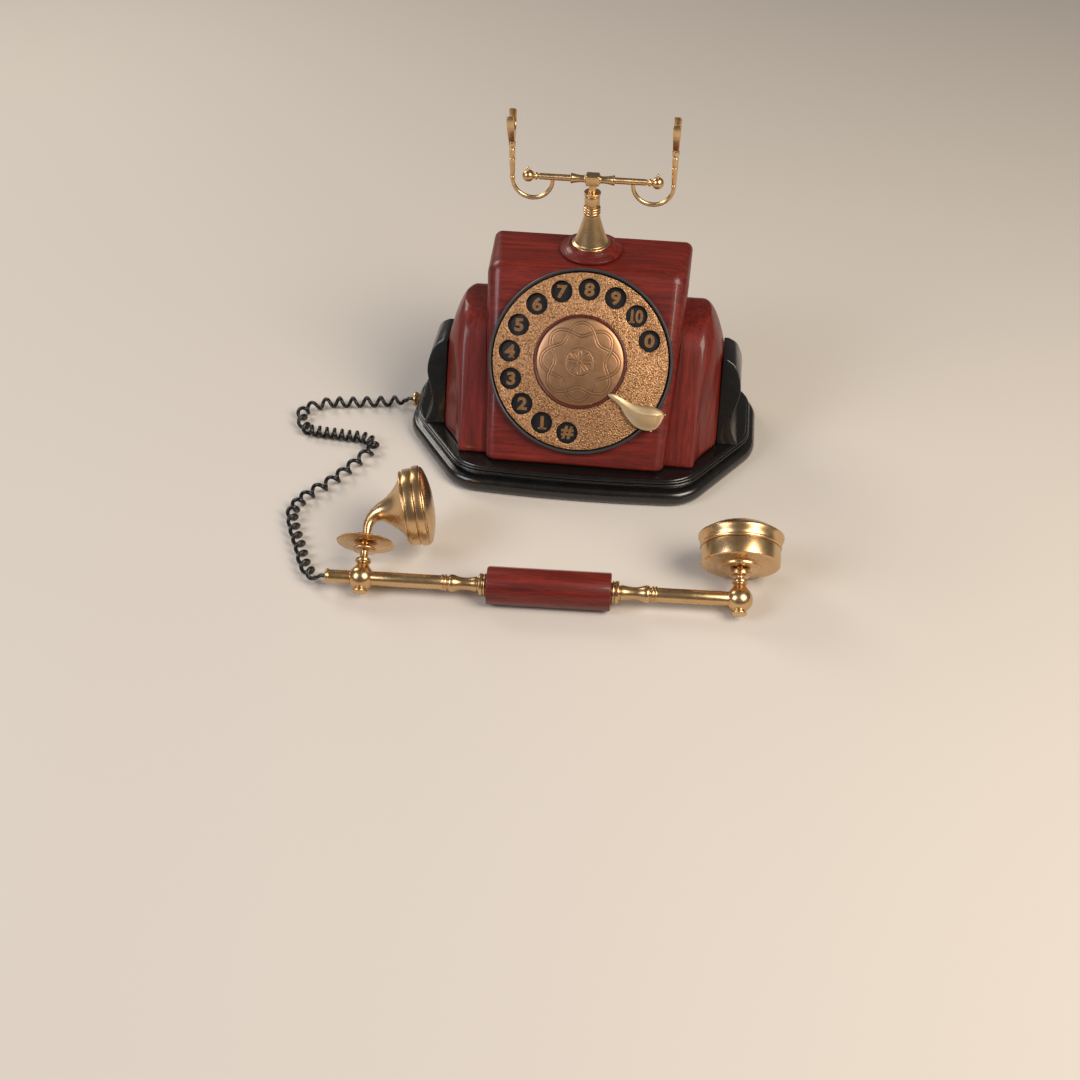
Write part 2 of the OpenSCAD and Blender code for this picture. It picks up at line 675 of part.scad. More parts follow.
module finger_wheel() color(copper) at_dial() difference() {
    translate([0, 0, wheel_bottom]) cylinder(h = wheel_t, r = wheel_r);
    translate([0, 0, wheel_bottom - 1]) cylinder(h = wheel_t + 2, r = shaft_r + bearing_clear);
    for (i = [0:finger_holes - 1]) translate([0, 0, wheel_bottom - 1])
        translate(on_dial(finger_circle_r, finger_first - i * finger_pitch))
            cylinder(h = wheel_t + 2, r = finger_hole_r);
}
module centre_ring() color("#5a1512") at_dial()
    pipe(centre_disc_r + centre_ring_w, centre_disc_r + joint_gap, wheel_top, wheel_top + 1.2);
module centre_disc() color(bronze) at_dial() turned(concat(
    [[0, wheel_top], [centre_disc_r, wheel_top]],
    [for (a = [90:-15:0]) [centre_disc_r * sin(a), wheel_top + 0.3 + (centre_dome_h - 0.3) * cos(a)]]
));
module dial_shaft() color(steel) at_dial() {
    translate([0, 0, shaft_end]) cylinder(h = wheel_top - shaft_end, r = shaft_r);
    translate([0, 0, wheel_bottom - 0.6]) cylinder(h = 0.6, r = shoulder_wide);
}
module main_gear() color(brass) at_dial() difference() {
    translate([0, 0, gear_z - gear_t / 2]) linear_extrude(gear_t) polygon(gear_outline(main_teeth));
    translate([0, 0, gear_z - gear_t]) cylinder(h = 2 * gear_t, r = shaft_r + bearing_clear);
    for (a = [0:60:300]) rotate([0, 0, a]) translate([10.5, 0, gear_z - gear_t])
        cylinder(h = 2 * gear_t, r = 3.6);
}
spring_turns = 4;
spring_t = 0.6;
spring_wide_r = 12;
module mainspring() color(steel) at_dial() translate([0, 0, shaft_end + 1]) linear_extrude(4) {
    polygon(concat(
        [for (a = [0:10:360 * spring_turns])
            polar(shaft_r + (spring_wide_r - shaft_r) * a / (360 * spring_turns), a)],
        [for (a = [360 * spring_turns:-10:0])
            polar(shaft_r + spring_t + (spring_wide_r - shaft_r) * a / (360 * spring_turns), a)]
    ));
}
module governor_spindle() color(steel) at_dial() translate([governor_x, 0, 0]) {
    translate([0, 0, works_back - works_plate_t + 0.2])
        cylinder(h = works_depth + 2 * works_plate_t - 0.4, r = spindle_r);
    translate([0, 0, gear_z - gear_t / 2 - 0.5]) rotate([0, 0, 180 / pinion_teeth])
        linear_extrude(gear_t + 1) polygon(gear_outline(pinion_teeth));
}
module pulse_cam() color(fibre) at_dial() translate([governor_x, 0, gear_z - 5.5]) difference() {
    cylinder(h = 1.5, r = 5);
    translate([0, 0, -1]) cylinder(h = 4, r = spindle_r + bearing_clear);
    for (a = [0, 120, 240]) rotate([0, 0, a]) translate([5.2, 0, -1]) cylinder(h = 4, r = 1.4);
}
module governor_weights() color(brass) at_dial() translate([governor_x, 0, works_back + 2.4]) difference() {
    union() {
        cylinder(h = 2, r = 3);
        for (a = [0, 180]) rotate([0, 0, a]) intersection() {
            pipe(governor_r, governor_r - 2.2, 0, 2);
            block([-governor_r, -governor_r + 1.6, -1], [governor_r, governor_r - 1.6, 3]);
            block([0.6, -governor_r, -1], [governor_r, governor_r, 3]);
        }
        block([-governor_r + 1, -0.8, 0], [governor_r - 1, 0.8, 2]);
    }
    translate([0, 0, -1]) cylinder(h = 4, r = spindle_r + bearing_clear);
}

// ---- Pedestal and cradle ----
spigot_r = 4.5;
guide_r = plunger_r + bearing_clear;
stop_collar_t = 2;
guide_t = 2;
bracket_half = 8;
bracket_t = 1.5;
nose_r = 1.2;
lever_half_w = 3;
pin_r = 1.2;

module rosette() color(mahogany) translate([0, pedestal_y, block_top]) difference() {
    turned(concat(
        [[0, 0], [rosette_r, 0]],
        [for (a = [-60:20:60]) [rosette_r - 0.8 + 0.8 * cos(a), 0.22 * rosette_h * (1 + sin(a) / sin(60))]],
        [[rosette_r - 2, 0.5 * rosette_h], [rosette_r - 3, 0.55 * rosette_h],
        [cone_foot_r + 3, 0.8 * rosette_h],
            [cone_foot_r + 2.4, rosette_h], [0, rosette_h]]
    ));
    translate([0, 0, -1]) cylinder(h = rosette_h + 2, r = spigot_r + bearing_clear);
}
module pedestal() color(brass) translate([0, pedestal_y, 0]) difference() {
    turned(concat(
        [[0, spigot_end], [spigot_r, spigot_end], [spigot_r, rosette_top],
            [cone_foot_r, rosette_top], [cone_foot_r, rosette_top + 1],
            [cone_foot_r - 1.4, rosette_top + 1.4]],
        [for (f = [0:0.125:1]) [
            cone_top_r + (cone_foot_r - 1.5 - cone_top_r) * pow(1 - f, 1.15),
            rosette_top + 1.6 + (cone_h - 1.6) * f
        ]],
        [for (ring = [0:2], a = [-60:30:60]) [
            cone_top_r - 0.1 + 0.5 * cos(a), cone_top + collar_h * (ring + 0.5 + 0.45 * sin(a)) / 3
        ]],
        [[knop_r - 0.8, collar_top], [knop_r - 0.8, collar_top + 0.8]],
        [for (q = [[0.2, 0.14], [0, 0.23], [0, 0.74], [0.3, 0.87], [0.6, 1]])
            [knop_r - q[0], collar_top + q[1] * knop_h]],
        [[knop_r + 0.5, knop_top], [knop_r + 0.5, pedestal_top], [0, pedestal_top]]
    ));
    translate([0, 0, spigot_end - 1]) cylinder(h = pedestal_top - spigot_end + 2, r = guide_r);
}
module hook_bracket() color(steel) translate([0, pedestal_y, 0]) difference() {
    union() {
        block([-bracket_half - bracket_t, -9, ceiling - bracket_t], [bracket_half + bracket_t, 9, ceiling]);
        block([-bracket_half - bracket_t, -7, bracket_z],
            [bracket_half + bracket_t, 7, bracket_z + guide_t]);
        both_sides() {
            block([bracket_half, -7, bracket_z], [bracket_half + bracket_t, 7, ceiling - bracket_t / 2]);
            block([bracket_half, 5, lever_z - 3],
                [bracket_half + bracket_t, lever_arm + 2.6, bracket_z + guide_t]);
        }
        translate([-bracket_half - bracket_t, lever_arm, lever_z]) rotate([0, 90, 0])
            cylinder(h = 2 * (bracket_half + bracket_t), r = pin_r);
    }
    translate([0, 0, ceiling - bracket_t - 1]) cylinder(h = bracket_t + 2, r = spigot_r + bearing_clear);
    translate([0, 0, bracket_z - 1]) cylinder(h = guide_t + 2, r = guide_r);
}
module hook_contacts() color(fibre) translate([bracket_half + bracket_t, pedestal_y, bracket_z]) {
    block([0, -5, 4], [6, 5, 14]);
    for (x = [0.8, 2.6, 4.4]) block([x, -3, -10], [x + 0.5, 3, 4.5]);
}
module hook_spring() color(steel) {
    low = bracket_z + guide_t + spring_wire_r;
    high = plunger_stop - stop_collar_t - spring_wire_r;
    n = spring_curls * rings_per_curl;
    coil_mean_r = plunger_r + spring_wire_r + 0.4;
    out = [for (k = [0:n]) let (a = 360 * k / rings_per_curl) [cos(a), sin(a), 0]];
    translate([0, pedestal_y, 0]) loft(tube_rings(
        [for (k = [0:n]) coil_mean_r * out[k] + [0, 0, low + (high - low) * k / n]],
        out, spring_wire_r, strand_sides
    ));
}
module hook_lever() color(brass) translate([0, lever_y, lever_z]) difference() {
    union() {
        translate([-bracket_half + 0.4, 0, 0]) rotate([0, 90, 0]) cylinder(h = 2 * bracket_half - 0.8,
            r = 2.2);
        block([-lever_half_w, -lever_arm, -0.8], [lever_half_w, 0, 0.8]);
        translate([-lever_half_w, -lever_arm, lever_drop - nose_r]) rotate([0, 90, 0])
            cylinder(h = 2 * lever_half_w, r = nose_r);
        block([-lever_half_w, -lever_arm - nose_r, -0.8],
            [lever_half_w, -lever_arm + nose_r, lever_drop - nose_r]);
    }
    translate([-bracket_half - 1, 0, 0]) rotate([0, 90, 0])
        cylinder(h = 2 * bracket_half + 2, r = pin_r + bearing_clear);
}
module hook_plunger() color(steel) translate([0, pedestal_y, 0]) {
    translate([0, 0, plunger_foot]) cylinder(h = cross_bottom - plunger_foot, r = plunger_r);
    translate([0, 0, plunger_stop - stop_collar_t]) cylinder(h = stop_collar_t, r = plunger_r + 1.9);
}

ferrule_root_r = bar_r + 0.2;
ferrule_end_r = 3;
ferrule_end_x = cross_side / 2 + 9;
bar_end_x = fork_half_span - 13.7;
ball_x = bar_end_x + ball_r - 0.3;
module cradle_bar() color(brass) translate([0, pedestal_y, bar_z]) {
    difference() {
        cube(cross_side, center = true);
        both_sides() translate([cross_side / 2 - 0.6, 0, 0]) rotate([0, 90, 0])
            pipe(cross_side / 2 - 0.7, ferrule_root_r, 0, 2);
    }
    translate([0, 0, -cross_side / 2 - 1]) difference() {
        cylinder(h = 1, r = plunger_r + 1.2);
        translate([0, 0, -1]) cylinder(h = 3, r = plunger_r + bearing_clear);
    }
    both_sides() {
        rotate([0, 90, 0]) turned([
            [0, cross_side / 2 - 1], [ferrule_root_r, cross_side / 2 - 1],
            [ferrule_root_r, cross_side / 2 + 1],
            [ferrule_end_r, ferrule_end_x - 1], [ferrule_end_r, ferrule_end_x], [bar_r, ferrule_end_x],
            [bar_r, bar_end_x - 3], [bar_r - 0.6, bar_end_x - 2.8], [bar_r - 0.6, bar_end_x - 2],
            [bar_r + 0.3, bar_end_x - 1.8], [bar_r + 0.3, bar_end_x - 0.6],
            [bar_r - 0.6, bar_end_x - 0.2], [bar_r - 0.6, bar_end_x + 1], [0, bar_end_x + 1]
        ]);
        translate([ball_x, 0, 0]) sphere(ball_r);
        translate([ball_x, 0, ball_r - 0.4]) cylinder(h = 1.2, r = 0.7);
        translate([ball_x, 0, ball_r + 1.2]) sphere(1.1);
    }
}
module scrolls() color(brass) both_sides() {
    centre_x = fork_half_span - scroll_r;
    difference() {
        translate([centre_x, pedestal_y, scroll_z]) {
            rotate([90, 0, 0]) rotate([0, 0, 180]) rotate_extrude(angle = 180)
                translate([scroll_r, 0]) circle(scroll_rod_r, $fn = 32);
            translate([-scroll_r, 0, 0]) cylinder(h = bar_z - scroll_z, r = scroll_rod_r);
        }
        translate([0, pedestal_y, bar_z]) rotate([0, 90, 0]) cylinder(h = bar_end_x, r = bar_r + 0.01);
    }
}
tine_foot = 1.9;
fork_profile = [
    [0, 0], [1.9, 0], [2.1, 0.02], [2.1, 0.06], [1.4, 0.1], [1.4, 0.35], [1.6, 0.6], [1.6, 0.76],
    [1.4, 0.78], [1.4, 0.81], [2.05, 0.83], [2.05, 0.93], [1.5, 0.95], [tine_foot, 0.98], [tine_foot, 1],
    [0, 1]
];
// Right half of a fork's head, as shares of its half width and height
tine_outline = [[0.52, 0.2], [0.8, 0.43], [0.95, 0.6], [1, 0.76], [1, 0.95], [0.91, 1]];
notch_z = stem_top + tine_h - notch_r - 0.4;
module forks() color(brass) both_sides() translate([fork_half_span, pedestal_y, 0]) {
    turned([for (p = fork_profile) [p[0], scroll_z + p[1] * stem_h]]);
    difference() {
        intersection() {
            translate([-tine_w, 0, stem_top]) rotate([90, 0, 90]) linear_extrude(2 * tine_w) polygon(concat(
                [[-tine_foot, 0], [tine_foot, 0]],
                [for (q = tine_outline) [q[0] * (notch_r + tine_t), q[1] * tine_h]],
                [for (i = [len(tine_outline) - 1:-1:0])
                    [-tine_outline[i][0] * (notch_r + tine_t), tine_outline[i][1] * tine_h]]
            ));
            translate([0, 20, stem_top]) rotate([90, 0, 0]) linear_extrude(40) polygon([
                [-tine_foot, 0], [tine_foot, 0], [tine_w / 2, tine_h], [-tine_w / 2, tine_h]
            ]);
        }
        translate([-tine_w, 0, notch_z]) rotate([0, 90, 0]) cylinder(h = 2 * tine_w, r = notch_r);
        block([-tine_w, -notch_r, notch_z], [tine_w, notch_r, stem_top + tine_h + 1]);
    }
}

// ---- Ringer and electrical parts ----
gong_t = 1.2;
frame_t = 1.4;
gong_post_r = 2;
yoke_y = -26;
pole_r = 2.4;
armature_front = armature_y - 4.1;
hub_r = 2.4;

module ringer_frame() color(steel) {
    block([-gong_half_span - 4, yoke_y - 2, plate_top],
        [gong_half_span + 4, gong_y + 5, plate_top + frame_t]);
    block([-coil_half_span - 5, yoke_y - 2, plate_top], [coil_half_span + 5, yoke_y, ringer_z + 7]);
    translate([0, armature_y, plate_top]) cylinder(h = ringer_z + 6 - plate_top, r = 1);
    both_sides() {
        translate([gong_half_span, gong_y, plate_top]) cylinder(h = gong_top - gong_t - plate_top - joint_gap,
            r = gong_post_r);
        translate([coil_half_span, yoke_y - 0.5, ringer_z]) rotate([-90, 0, 0])
            cylinder(h = armature_front - pole_gap - yoke_y + 0.5, r = pole_r);
    }
}
module ringer_coils() color(copper) both_sides()
    translate([coil_half_span, yoke_y, ringer_z]) rotate([-90, 0, 0]) {
        pipe(coil_r - 0.8, pole_r + bearing_clear, 0, coil_l - 0.6);
        for (y = [0.1, coil_l - 1.7]) pipe(coil_r, pole_r + bearing_clear, y, y + 1);
    }
module gong() color(brass) translate([gong_half_span, gong_y, 0]) {
    difference() {
        turned(concat(
            [for (a = [0:15:90]) [
                gong_r * pow(cos(a), 0.6), gong_rim + (gong_top - gong_rim) * pow(sin(a), 1.2)
            ]],
            [for (a = [90:-15:0]) [
                (gong_r - gong_t) * pow(cos(a), 0.6),
                    gong_rim + (gong_top - gong_t - gong_rim) * pow(sin(a), 1.2)
            ]]
        ));
    }
    translate([0, 0, gong_top - 0.3]) cylinder(h = 1.6, r = 2.6);
}
module gong_left() mirror([1, 0, 0]) gong();
module gong_right() gong();
module clapper() color(steel) difference() {
    union() {
        translate([0, armature_y, ringer_z - 4]) cylinder(h = 8, r = hub_r);
        block(
            [-coil_half_span - 4, armature_front, ringer_z - 3],
            [coil_half_span + 4, armature_front + armature_t, ringer_z + 3]
        );
        translate([0, armature_y + hub_r - 0.6, ringer_z]) rotate([-90, 0, 0])
            cylinder(h = gong_y - armature_y - hub_r, r = 0.8);
        translate([0, gong_y, ringer_z]) sphere(clapper_r);
    }
    translate([0, armature_y, ringer_z - 6]) cylinder(h = 12, r = 1 + bearing_clear);
}
coil_former_r = 8;
coil_place = [-(gong_half_span + gong_r + 2), armature_y - 31.5];
capacitor_w = 14;
capacitor_x = coil_half_span + coil_r + 15;
terminal_y = plinth_wall + 14 - plinth_half_d;
module induction_coil() color(copper)
    translate([coil_place[0], coil_place[1], plate_top + coil_former_r + 1.4]) rotate([-90, 0, 0]) {
        cylinder(h = 40, r = coil_former_r - 1.4);
        for (y = [0, 38]) translate([0, 0, y]) cylinder(h = 2, r = coil_former_r);
        for (y = [0, 38]) block([-coil_former_r, 0, y], [coil_former_r, coil_former_r + 1.4, y + 2]);
    }
module capacitor() color("#9a8f78") {
    block([capacitor_x, -30, plate_top], [capacitor_x + capacitor_w, 0, plate_top + 21.4]);
    for (y = [-22, -8]) translate([capacitor_x + capacitor_w / 2, y, plate_top + 20.9])
        cylinder(h = 2.5, r = 1.6);
}
module terminal_block() color(fibre) difference() {
    block([-20, terminal_y, plate_top], [20, terminal_y + 10, plate_top + 8]);
    for (x = [-15:10:15]) translate([x, terminal_y + 5, plate_top + 5]) cylinder(h = 4, r = 2.2);
}

// ---- Handset ----
tube_bore_r = tube_r - tube_wall;
collar_disc_r = 6.4;
// Turned collar, from its tube end to its grip end: [radius, distance]
module collar() turned([
    [0, 0], [tube_r, 0], [tube_r + 0.5, 0.2], [tube_r + 0.5, 1.1], [tube_r, 1.3], [tube_r, 1.6],
    [tube_r + 0.5, 1.8], [tube_r + 0.5, 2.7], [tube_r - 0.2, 3], [tube_r - 0.2, 4], [tube_r + 0.4, 4.3],
    [tube_r + 0.8, 5.4], [tube_r + 0.9, 6.2], [tube_r + 0.7, 7.2], [tube_r + 0.1, 9], [tube_r - 0.4, 11],
    [tube_r - 0.5, 13], [tube_r - 0.3, collar_l - 9.5], [tube_r + 0.2, collar_l - 6.6],
    [tube_r + 0.2, collar_l - 5.6], [tube_r - 0.1, collar_l - 5.4], [tube_r - 0.1, collar_l - 4.6],
    [collar_disc_r - 0.3, collar_l - 4.5], [collar_disc_r, collar_l - 4.2], [collar_disc_r, collar_l - 2.3],
    [collar_disc_r - 0.5, collar_l - 2.1], [collar_disc_r - 0.5, collar_l - 1.8],
    [collar_disc_r, collar_l - 1.6], [collar_disc_r, collar_l - 0.9], [collar_disc_r - 0.9, collar_l - 0.7],
    [collar_disc_r - 0.9, collar_l], [0, collar_l]
]);
// Ball, finial and stalk of one end: a stub through the ball between two distances, a small disc of radius
// disc_r between two heights, then a neck up to a face
module tee(disc_r, disc_0, disc_1, neck_top, stub_0, stub_1) {
    sphere(tee_ball_r);
    rotate([0, 90, 0]) translate([0, 0, stub_0]) cylinder(h = stub_1 - stub_0, r = tube_r);
    translate([0, 0, -tee_ball_r]) turned([
        [0, -2.8], [3.4, -2.8], [4.4, -2], [4.5, -1.2], [4, -0.5], [3.6, 0], [3.6, 0.8], [0, 0.9]
    ]);
    turned([
        [0, 5], [4.8, 5], [3.6, 7.4], [3.4, 9.2], [4.4, 9.5], [4.4, 11.2], [2.6, 11.6],
        [2.4, (11.6 + disc_0) / 2], [2.6, disc_0 - 0.4], [disc_r, disc_0], [disc_r, disc_1],
        [3.2, disc_1 + 0.5], [2.8, neck_top],
        [0, neck_top]
    ]);
}
module grip() color(mahogany) at_handset() translate([collar_start + collar_l, 0, 0]) rotate([0, 90, 0])
    intersection() {
        rotate([0, 0, 90 - handset_tilt - 1.5 * 360 / grip_sides])
            cylinder(h = grip_l, r = grip_w / 2 / cos(180 / grip_sides), $fn = grip_sides);
        turned([
            [0, 0], [grip_w / 2 - 0.9, 0], [grip_w / 2 + 1, 1.9], [grip_w / 2 + 1, grip_l - 1.9],
            [grip_w / 2 - 0.9, grip_l], [0, grip_l]
        ]);
    }
module collar_mouth() color(brass) at_handset() translate([collar_start, 0, 0]) rotate([0, 90, 0]) collar();
module collar_ear() color(brass) at_handset() translate([tee_span - collar_start, 0, 0])
    rotate([0, -90, 0]) collar();
module tube_mouth() color(brass) at_handset() rotate([0, 90, 0])
    pipe(tube_r, tube_bore_r, tee_stub, collar_start);
module tube_ear() color(brass) at_handset() rotate([0, 90, 0])
    pipe(tube_r, tube_bore_r, tee_span - collar_start, tee_span - tee_stub);
module tee_mouth() color(brass) at_handset() tee(7, 16, 18, saucer_s, -tee_stub, tee_stub);
module tee_ear() color(brass) at_handset() translate([tee_span, 0, 0])
    tee(5.9, 13.5, 17, ear_cup_s, -tee_stub, -1);
module cord_ferrule() color(brass) at_handset() translate([cord_end_x, 0, 0]) rotate([0, 90, 0]) turned([
    [0, 0], [3.9, 0], [4.4, 0.5], [4.4, 1.7], [3.8, 2], [3.8, ferrule_l + 2.7 - joint_gap],
    [0, ferrule_l + 2.7 - joint_gap]
]);
module saucer() color(brass) at_handset() difference() {
    turned([
        [0, saucer_s], [5, saucer_s], [saucer_r - 0.6, saucer_s + 0.9], [saucer_r, saucer_s + 1.3],
        [saucer_r - 0.6, saucer_s + 1.7], [5, saucer_s + 1.2], [4.6, horn_foot_s], [0, horn_foot_s]
    ]);
}
horn_r = horn_foot_r + 1;
horn_bead_r = horn_r + 0.6;
horn_bead_t = 1.2;
module mouth_horn() color(brass) at_handset() {
    turned([
        [0, horn_foot_s], [horn_foot_r, horn_foot_s], [horn_r - 0.2, horn_bend_s - horn_bead_t / 2],
        [horn_bead_r, horn_bend_s - horn_bead_t / 2], [horn_bead_r, horn_bend_s + horn_bead_t / 2],
        [0, horn_bend_s + horn_bead_t / 2]
    ]);
    translate([horn_bend_r, 0, horn_bend_s]) rotate([90, 0, 0]) rotate([0, 0, 90 + bell_rise])
        rotate_extrude(angle = 90 - bell_rise) translate([horn_bend_r, 0]) circle(horn_r, $fn = 48);
    translate([bell_x, 0, bell_s]) rotate([0, 90 - bell_rise, 0]) translate([0, 0, -bell_run]) turned([
        [0, -horn_bead_t / 2], [horn_bead_r, -horn_bead_t / 2], [horn_bead_r, horn_bead_t / 2],
        [horn_r + 0.2, horn_bead_t / 2], [horn_r + 2.2, 0.28 * bell_run],
        [0.53 * horn_mouth_r, 0.5 * bell_run],
        [0.75 * horn_mouth_r, 0.75 * bell_run], [horn_mouth_r, bell_run],
        [0, bell_run]
    ]);
}
module at_bell() { at_handset() translate([bell_x, 0, bell_s]) rotate([0, 90 - bell_rise, 0]) children(); }
bell_in_r = bell_r - cup_wall - 2;
module mouth_bell() color(brass) at_bell() difference() {
    turned([
        [0, 0], [bell_r - 2, 0], [bell_r - 1.8, 0.3], [bell_r - 1.8, 1.1], [bell_r - 2.2, 1.4],
        [bell_r - 2.2, 2], [bell_r - 1.2, 2.3], [bell_r - 1, 2.8], [bell_r - 1, 6.6],
        [bell_r - 1.6, 7], [bell_r - 1.6, 7.5], [bell_r - 0.2, 7.8], [bell_r, 8.3],
        [bell_r, bell_depth - 0.6], [bell_r - 0.6, bell_depth],
        [0, bell_depth]
    ]);
    translate([0, 0, 1.4]) cylinder(h = 2, r = bell_r - 4 - cup_wall);
    translate([0, 0, 3.3]) cylinder(h = bell_depth, r = bell_in_r - 1);
    translate([0, 0, -1]) cylinder(h = 4, r = horn_mouth_r - 3);
}
module mouth_cap() color(brass) at_bell() turned([
    [0, bell_depth], [bell_r - 1, bell_depth], [bell_r - 1.4, bell_depth + 1],
    [bell_r - 3, bell_depth + 2.2],
    [bell_r - 8, bell_depth + 3.8], [bell_r - 14, bell_depth + 5], [0, bell_depth + 5.5]
]);
module transmitter() color(steel) at_bell() {
    translate([0, 0, 3.4]) cylinder(h = bell_depth - 5, r = bell_in_r - 1.2);
    translate([0, 0, bell_depth - 2]) cylinder(h = 1.8, r = bell_in_r - 6);
}
module ear_cup() color(brass) at_handset() translate([tee_span, 0, 0]) difference() {
    turned([
        [0, ear_cup_s], [11.9, ear_cup_s], [12.2, ear_cup_s + 0.3], [12.2, drum_s - 0.8],
        [drum_r - 2.4, drum_s - 0.5], [drum_r - 0.6, drum_s - 0.4],
        [drum_r, drum_s],
        [drum_r, ear_cap_s], [0, ear_cap_s]
    ]);
    translate([0, 0, drum_s + 1]) cylinder(h = drum_h + 1, r = drum_r - cup_wall);
}
module ear_cap() color(brass) at_handset() translate([tee_span, 0, ear_cap_s]) difference() {
    rim = 0.4 * ear_cap_h;
    turned([
        [0, 0], [drum_r + 0.2, 0], [drum_r + 0.6, 0.8], [drum_r + 0.6, 2], [ear_cap_r, rim],
        [ear_cap_r, rim + 1.4],
        [ear_cap_r - 0.8, rim + 2], [0.88 * ear_cap_r, rim + 3.6], [0.66 * ear_cap_r, 0.78 * ear_cap_h],
        [0.42 * ear_cap_r, 0.92 * ear_cap_h], [0.18 * ear_cap_r, ear_cap_h - 0.2], [0, ear_cap_h]
    ]);
    translate([0, 0, -1]) cylinder(h = rim + 1, r = drum_r - cup_wall);
    translate([0, 0, rim - 1]) cylinder(h = 0.25 * ear_cap_h + 1, r = 0.5 * drum_r);
    for (a = [0:60:300]) rotate([0, 0, a]) translate([4.5, 0, rim]) cylinder(h = ear_cap_h, r = 1.1);
}
module receiver() color(steel) at_handset() translate([tee_span, 0, drum_s + 1]) {
    cylinder(h = drum_h + 2, r = drum_r - cup_wall - 0.2);
    cylinder(h = drum_h + 0.4 * ear_cap_h - 2, r = 9);
}

// ---- Curly cord ----
steps = len(route) - 1;
curl_rings = steps * curls_per_step * rings_per_curl;
cord_end = cord_end_x - cord_clear;
cord_far = handset_place + [cord_end * cos(handset_turn), cord_end * sin(handset_turn), handset_z];
cord_lead = [-1.1 * strand_d, 0, 0];
cord_near = gland_place - [cord_clear, 0, 0];
function route_at(k) =
    let (u = k / (curls_per_step * rings_per_curl), i = min(floor(u), steps - 1)) spline(route, i, u - i);
function across_at(k) =
    let (
        t = unit(route_at(min(k + 1, curl_rings)) - route_at(max(k - 1, 0))),
        side = unit(cross(t, [0, 0, 1])),
        a = 360 * k / rings_per_curl
    )
    cos(a) * cross(side, t) + sin(a) * side;
cord_across = [for (k = [0:curl_rings]) across_at(k)];
cord_line = concat(
    [cord_near, cord_near + cord_lead],
    [for (k = [0:curl_rings]) route_at(k) + curl_r * min(1, k / rings_per_curl,
    (curl_rings - k) / rings_per_curl)
        * cord_across[k]],
    [cord_far + cord_lead, cord_far]
);
module curly_cord() color("#171513") {
    apart = [for (i = [0:len(cord_line) - 1], j = [i + rings_per_curl / 2:1:len(cord_line) - 1])
        norm(cord_line[i] - cord_line[j])];
    echo(cord_gap = min(apart) - strand_d);
    pieces = [for (i = [1:len(cord_line) - 1]) norm(cord_line[i] - cord_line[i - 1])];
    echo(cord_length = pieces * [for (piece = pieces) 1]);
    echo(cord_low = min([for (p = cord_line) p[2]]) - strand_d / 2);
    loft(tube_rings(
        cord_line, concat([cord_across[0], cord_across[0]], cord_across, [[0, 1, 0], [0, 1, 0]]),
        strand_d / 2, strand_sides
    ));
}

base_felt();
base_plate();
plate_screws();
plinth();
centre_block();
side_block_left();
side_block_right();
cheek_left();
cheek_right();
dial_pan();
number_plate();
finger_stop();
works_frame();
pulse_contacts();
finger_wheel();
centre_ring();
centre_disc();
dial_shaft();
main_gear();
mainspring();
governor_spindle();
pulse_cam();
governor_weights();
rosette();
pedestal();
hook_bracket();
hook_contacts();
hook_spring();
hook_lever();
hook_plunger();
cradle_bar();
scrolls();
forks();
ringer_frame();
ringer_coils();
gong_left();
gong_right();
clapper();
induction_coil();
capacitor();
terminal_block();
line_socket();
cord_gland();
grip();
collar_mouth();
collar_ear();
tube_mouth();
tube_ear();
tee_mouth();
tee_ear();
cord_ferrule();
saucer();
mouth_horn();
mouth_bell();
mouth_cap();
transmitter();
ear_cup();
ear_cap();
receiver();
curly_cord();
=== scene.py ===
import math

import bpy
from mathutils import Matrix, Vector


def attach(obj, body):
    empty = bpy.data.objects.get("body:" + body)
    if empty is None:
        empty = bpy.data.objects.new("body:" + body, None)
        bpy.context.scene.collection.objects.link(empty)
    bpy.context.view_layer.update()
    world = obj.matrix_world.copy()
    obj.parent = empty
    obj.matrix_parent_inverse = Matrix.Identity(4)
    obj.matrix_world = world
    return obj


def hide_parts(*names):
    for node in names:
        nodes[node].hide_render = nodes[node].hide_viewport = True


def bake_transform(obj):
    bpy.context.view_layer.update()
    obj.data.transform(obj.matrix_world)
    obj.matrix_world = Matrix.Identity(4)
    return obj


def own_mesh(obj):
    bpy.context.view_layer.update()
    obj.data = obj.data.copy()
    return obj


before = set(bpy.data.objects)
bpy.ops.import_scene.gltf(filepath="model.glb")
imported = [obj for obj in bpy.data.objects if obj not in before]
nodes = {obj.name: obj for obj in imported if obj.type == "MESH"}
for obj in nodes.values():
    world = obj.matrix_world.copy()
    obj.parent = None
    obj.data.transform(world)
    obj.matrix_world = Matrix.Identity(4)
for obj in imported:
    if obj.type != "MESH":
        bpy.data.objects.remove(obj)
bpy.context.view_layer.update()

# ---- Camera ----
# A normal lens looks down on the telephone from the front, a little to its right.
bpy.ops.object.camera_add(location=(0.0685, -0.7805, 0.590),
                          rotation=(math.radians(48.6), 0, math.radians(7.1)))
camera = bpy.context.object
camera.data.lens = 50
camera.data.sensor_width = 36
bpy.context.scene.camera = camera
bpy.context.scene.view_settings.view_transform = "Standard"

# ---- Curly cord ----
# A black rubber-jacketed strand wound into curls, from the gland at the plinth's left side
# along the table to the ferrule on the handset. Its gloss shows as a thin line on each curl.
MM = 0.001


def linear(colour):
    """An sRGB hex colour as linear red, green, blue and alpha."""
    parts = [int(colour[i:i + 2], 16) / 255 for i in (1, 3, 5)]
    return [c / 12.92 if c <= 0.04045 else ((c + 0.055) / 1.055) ** 2.4 for c in parts] + [1.0]


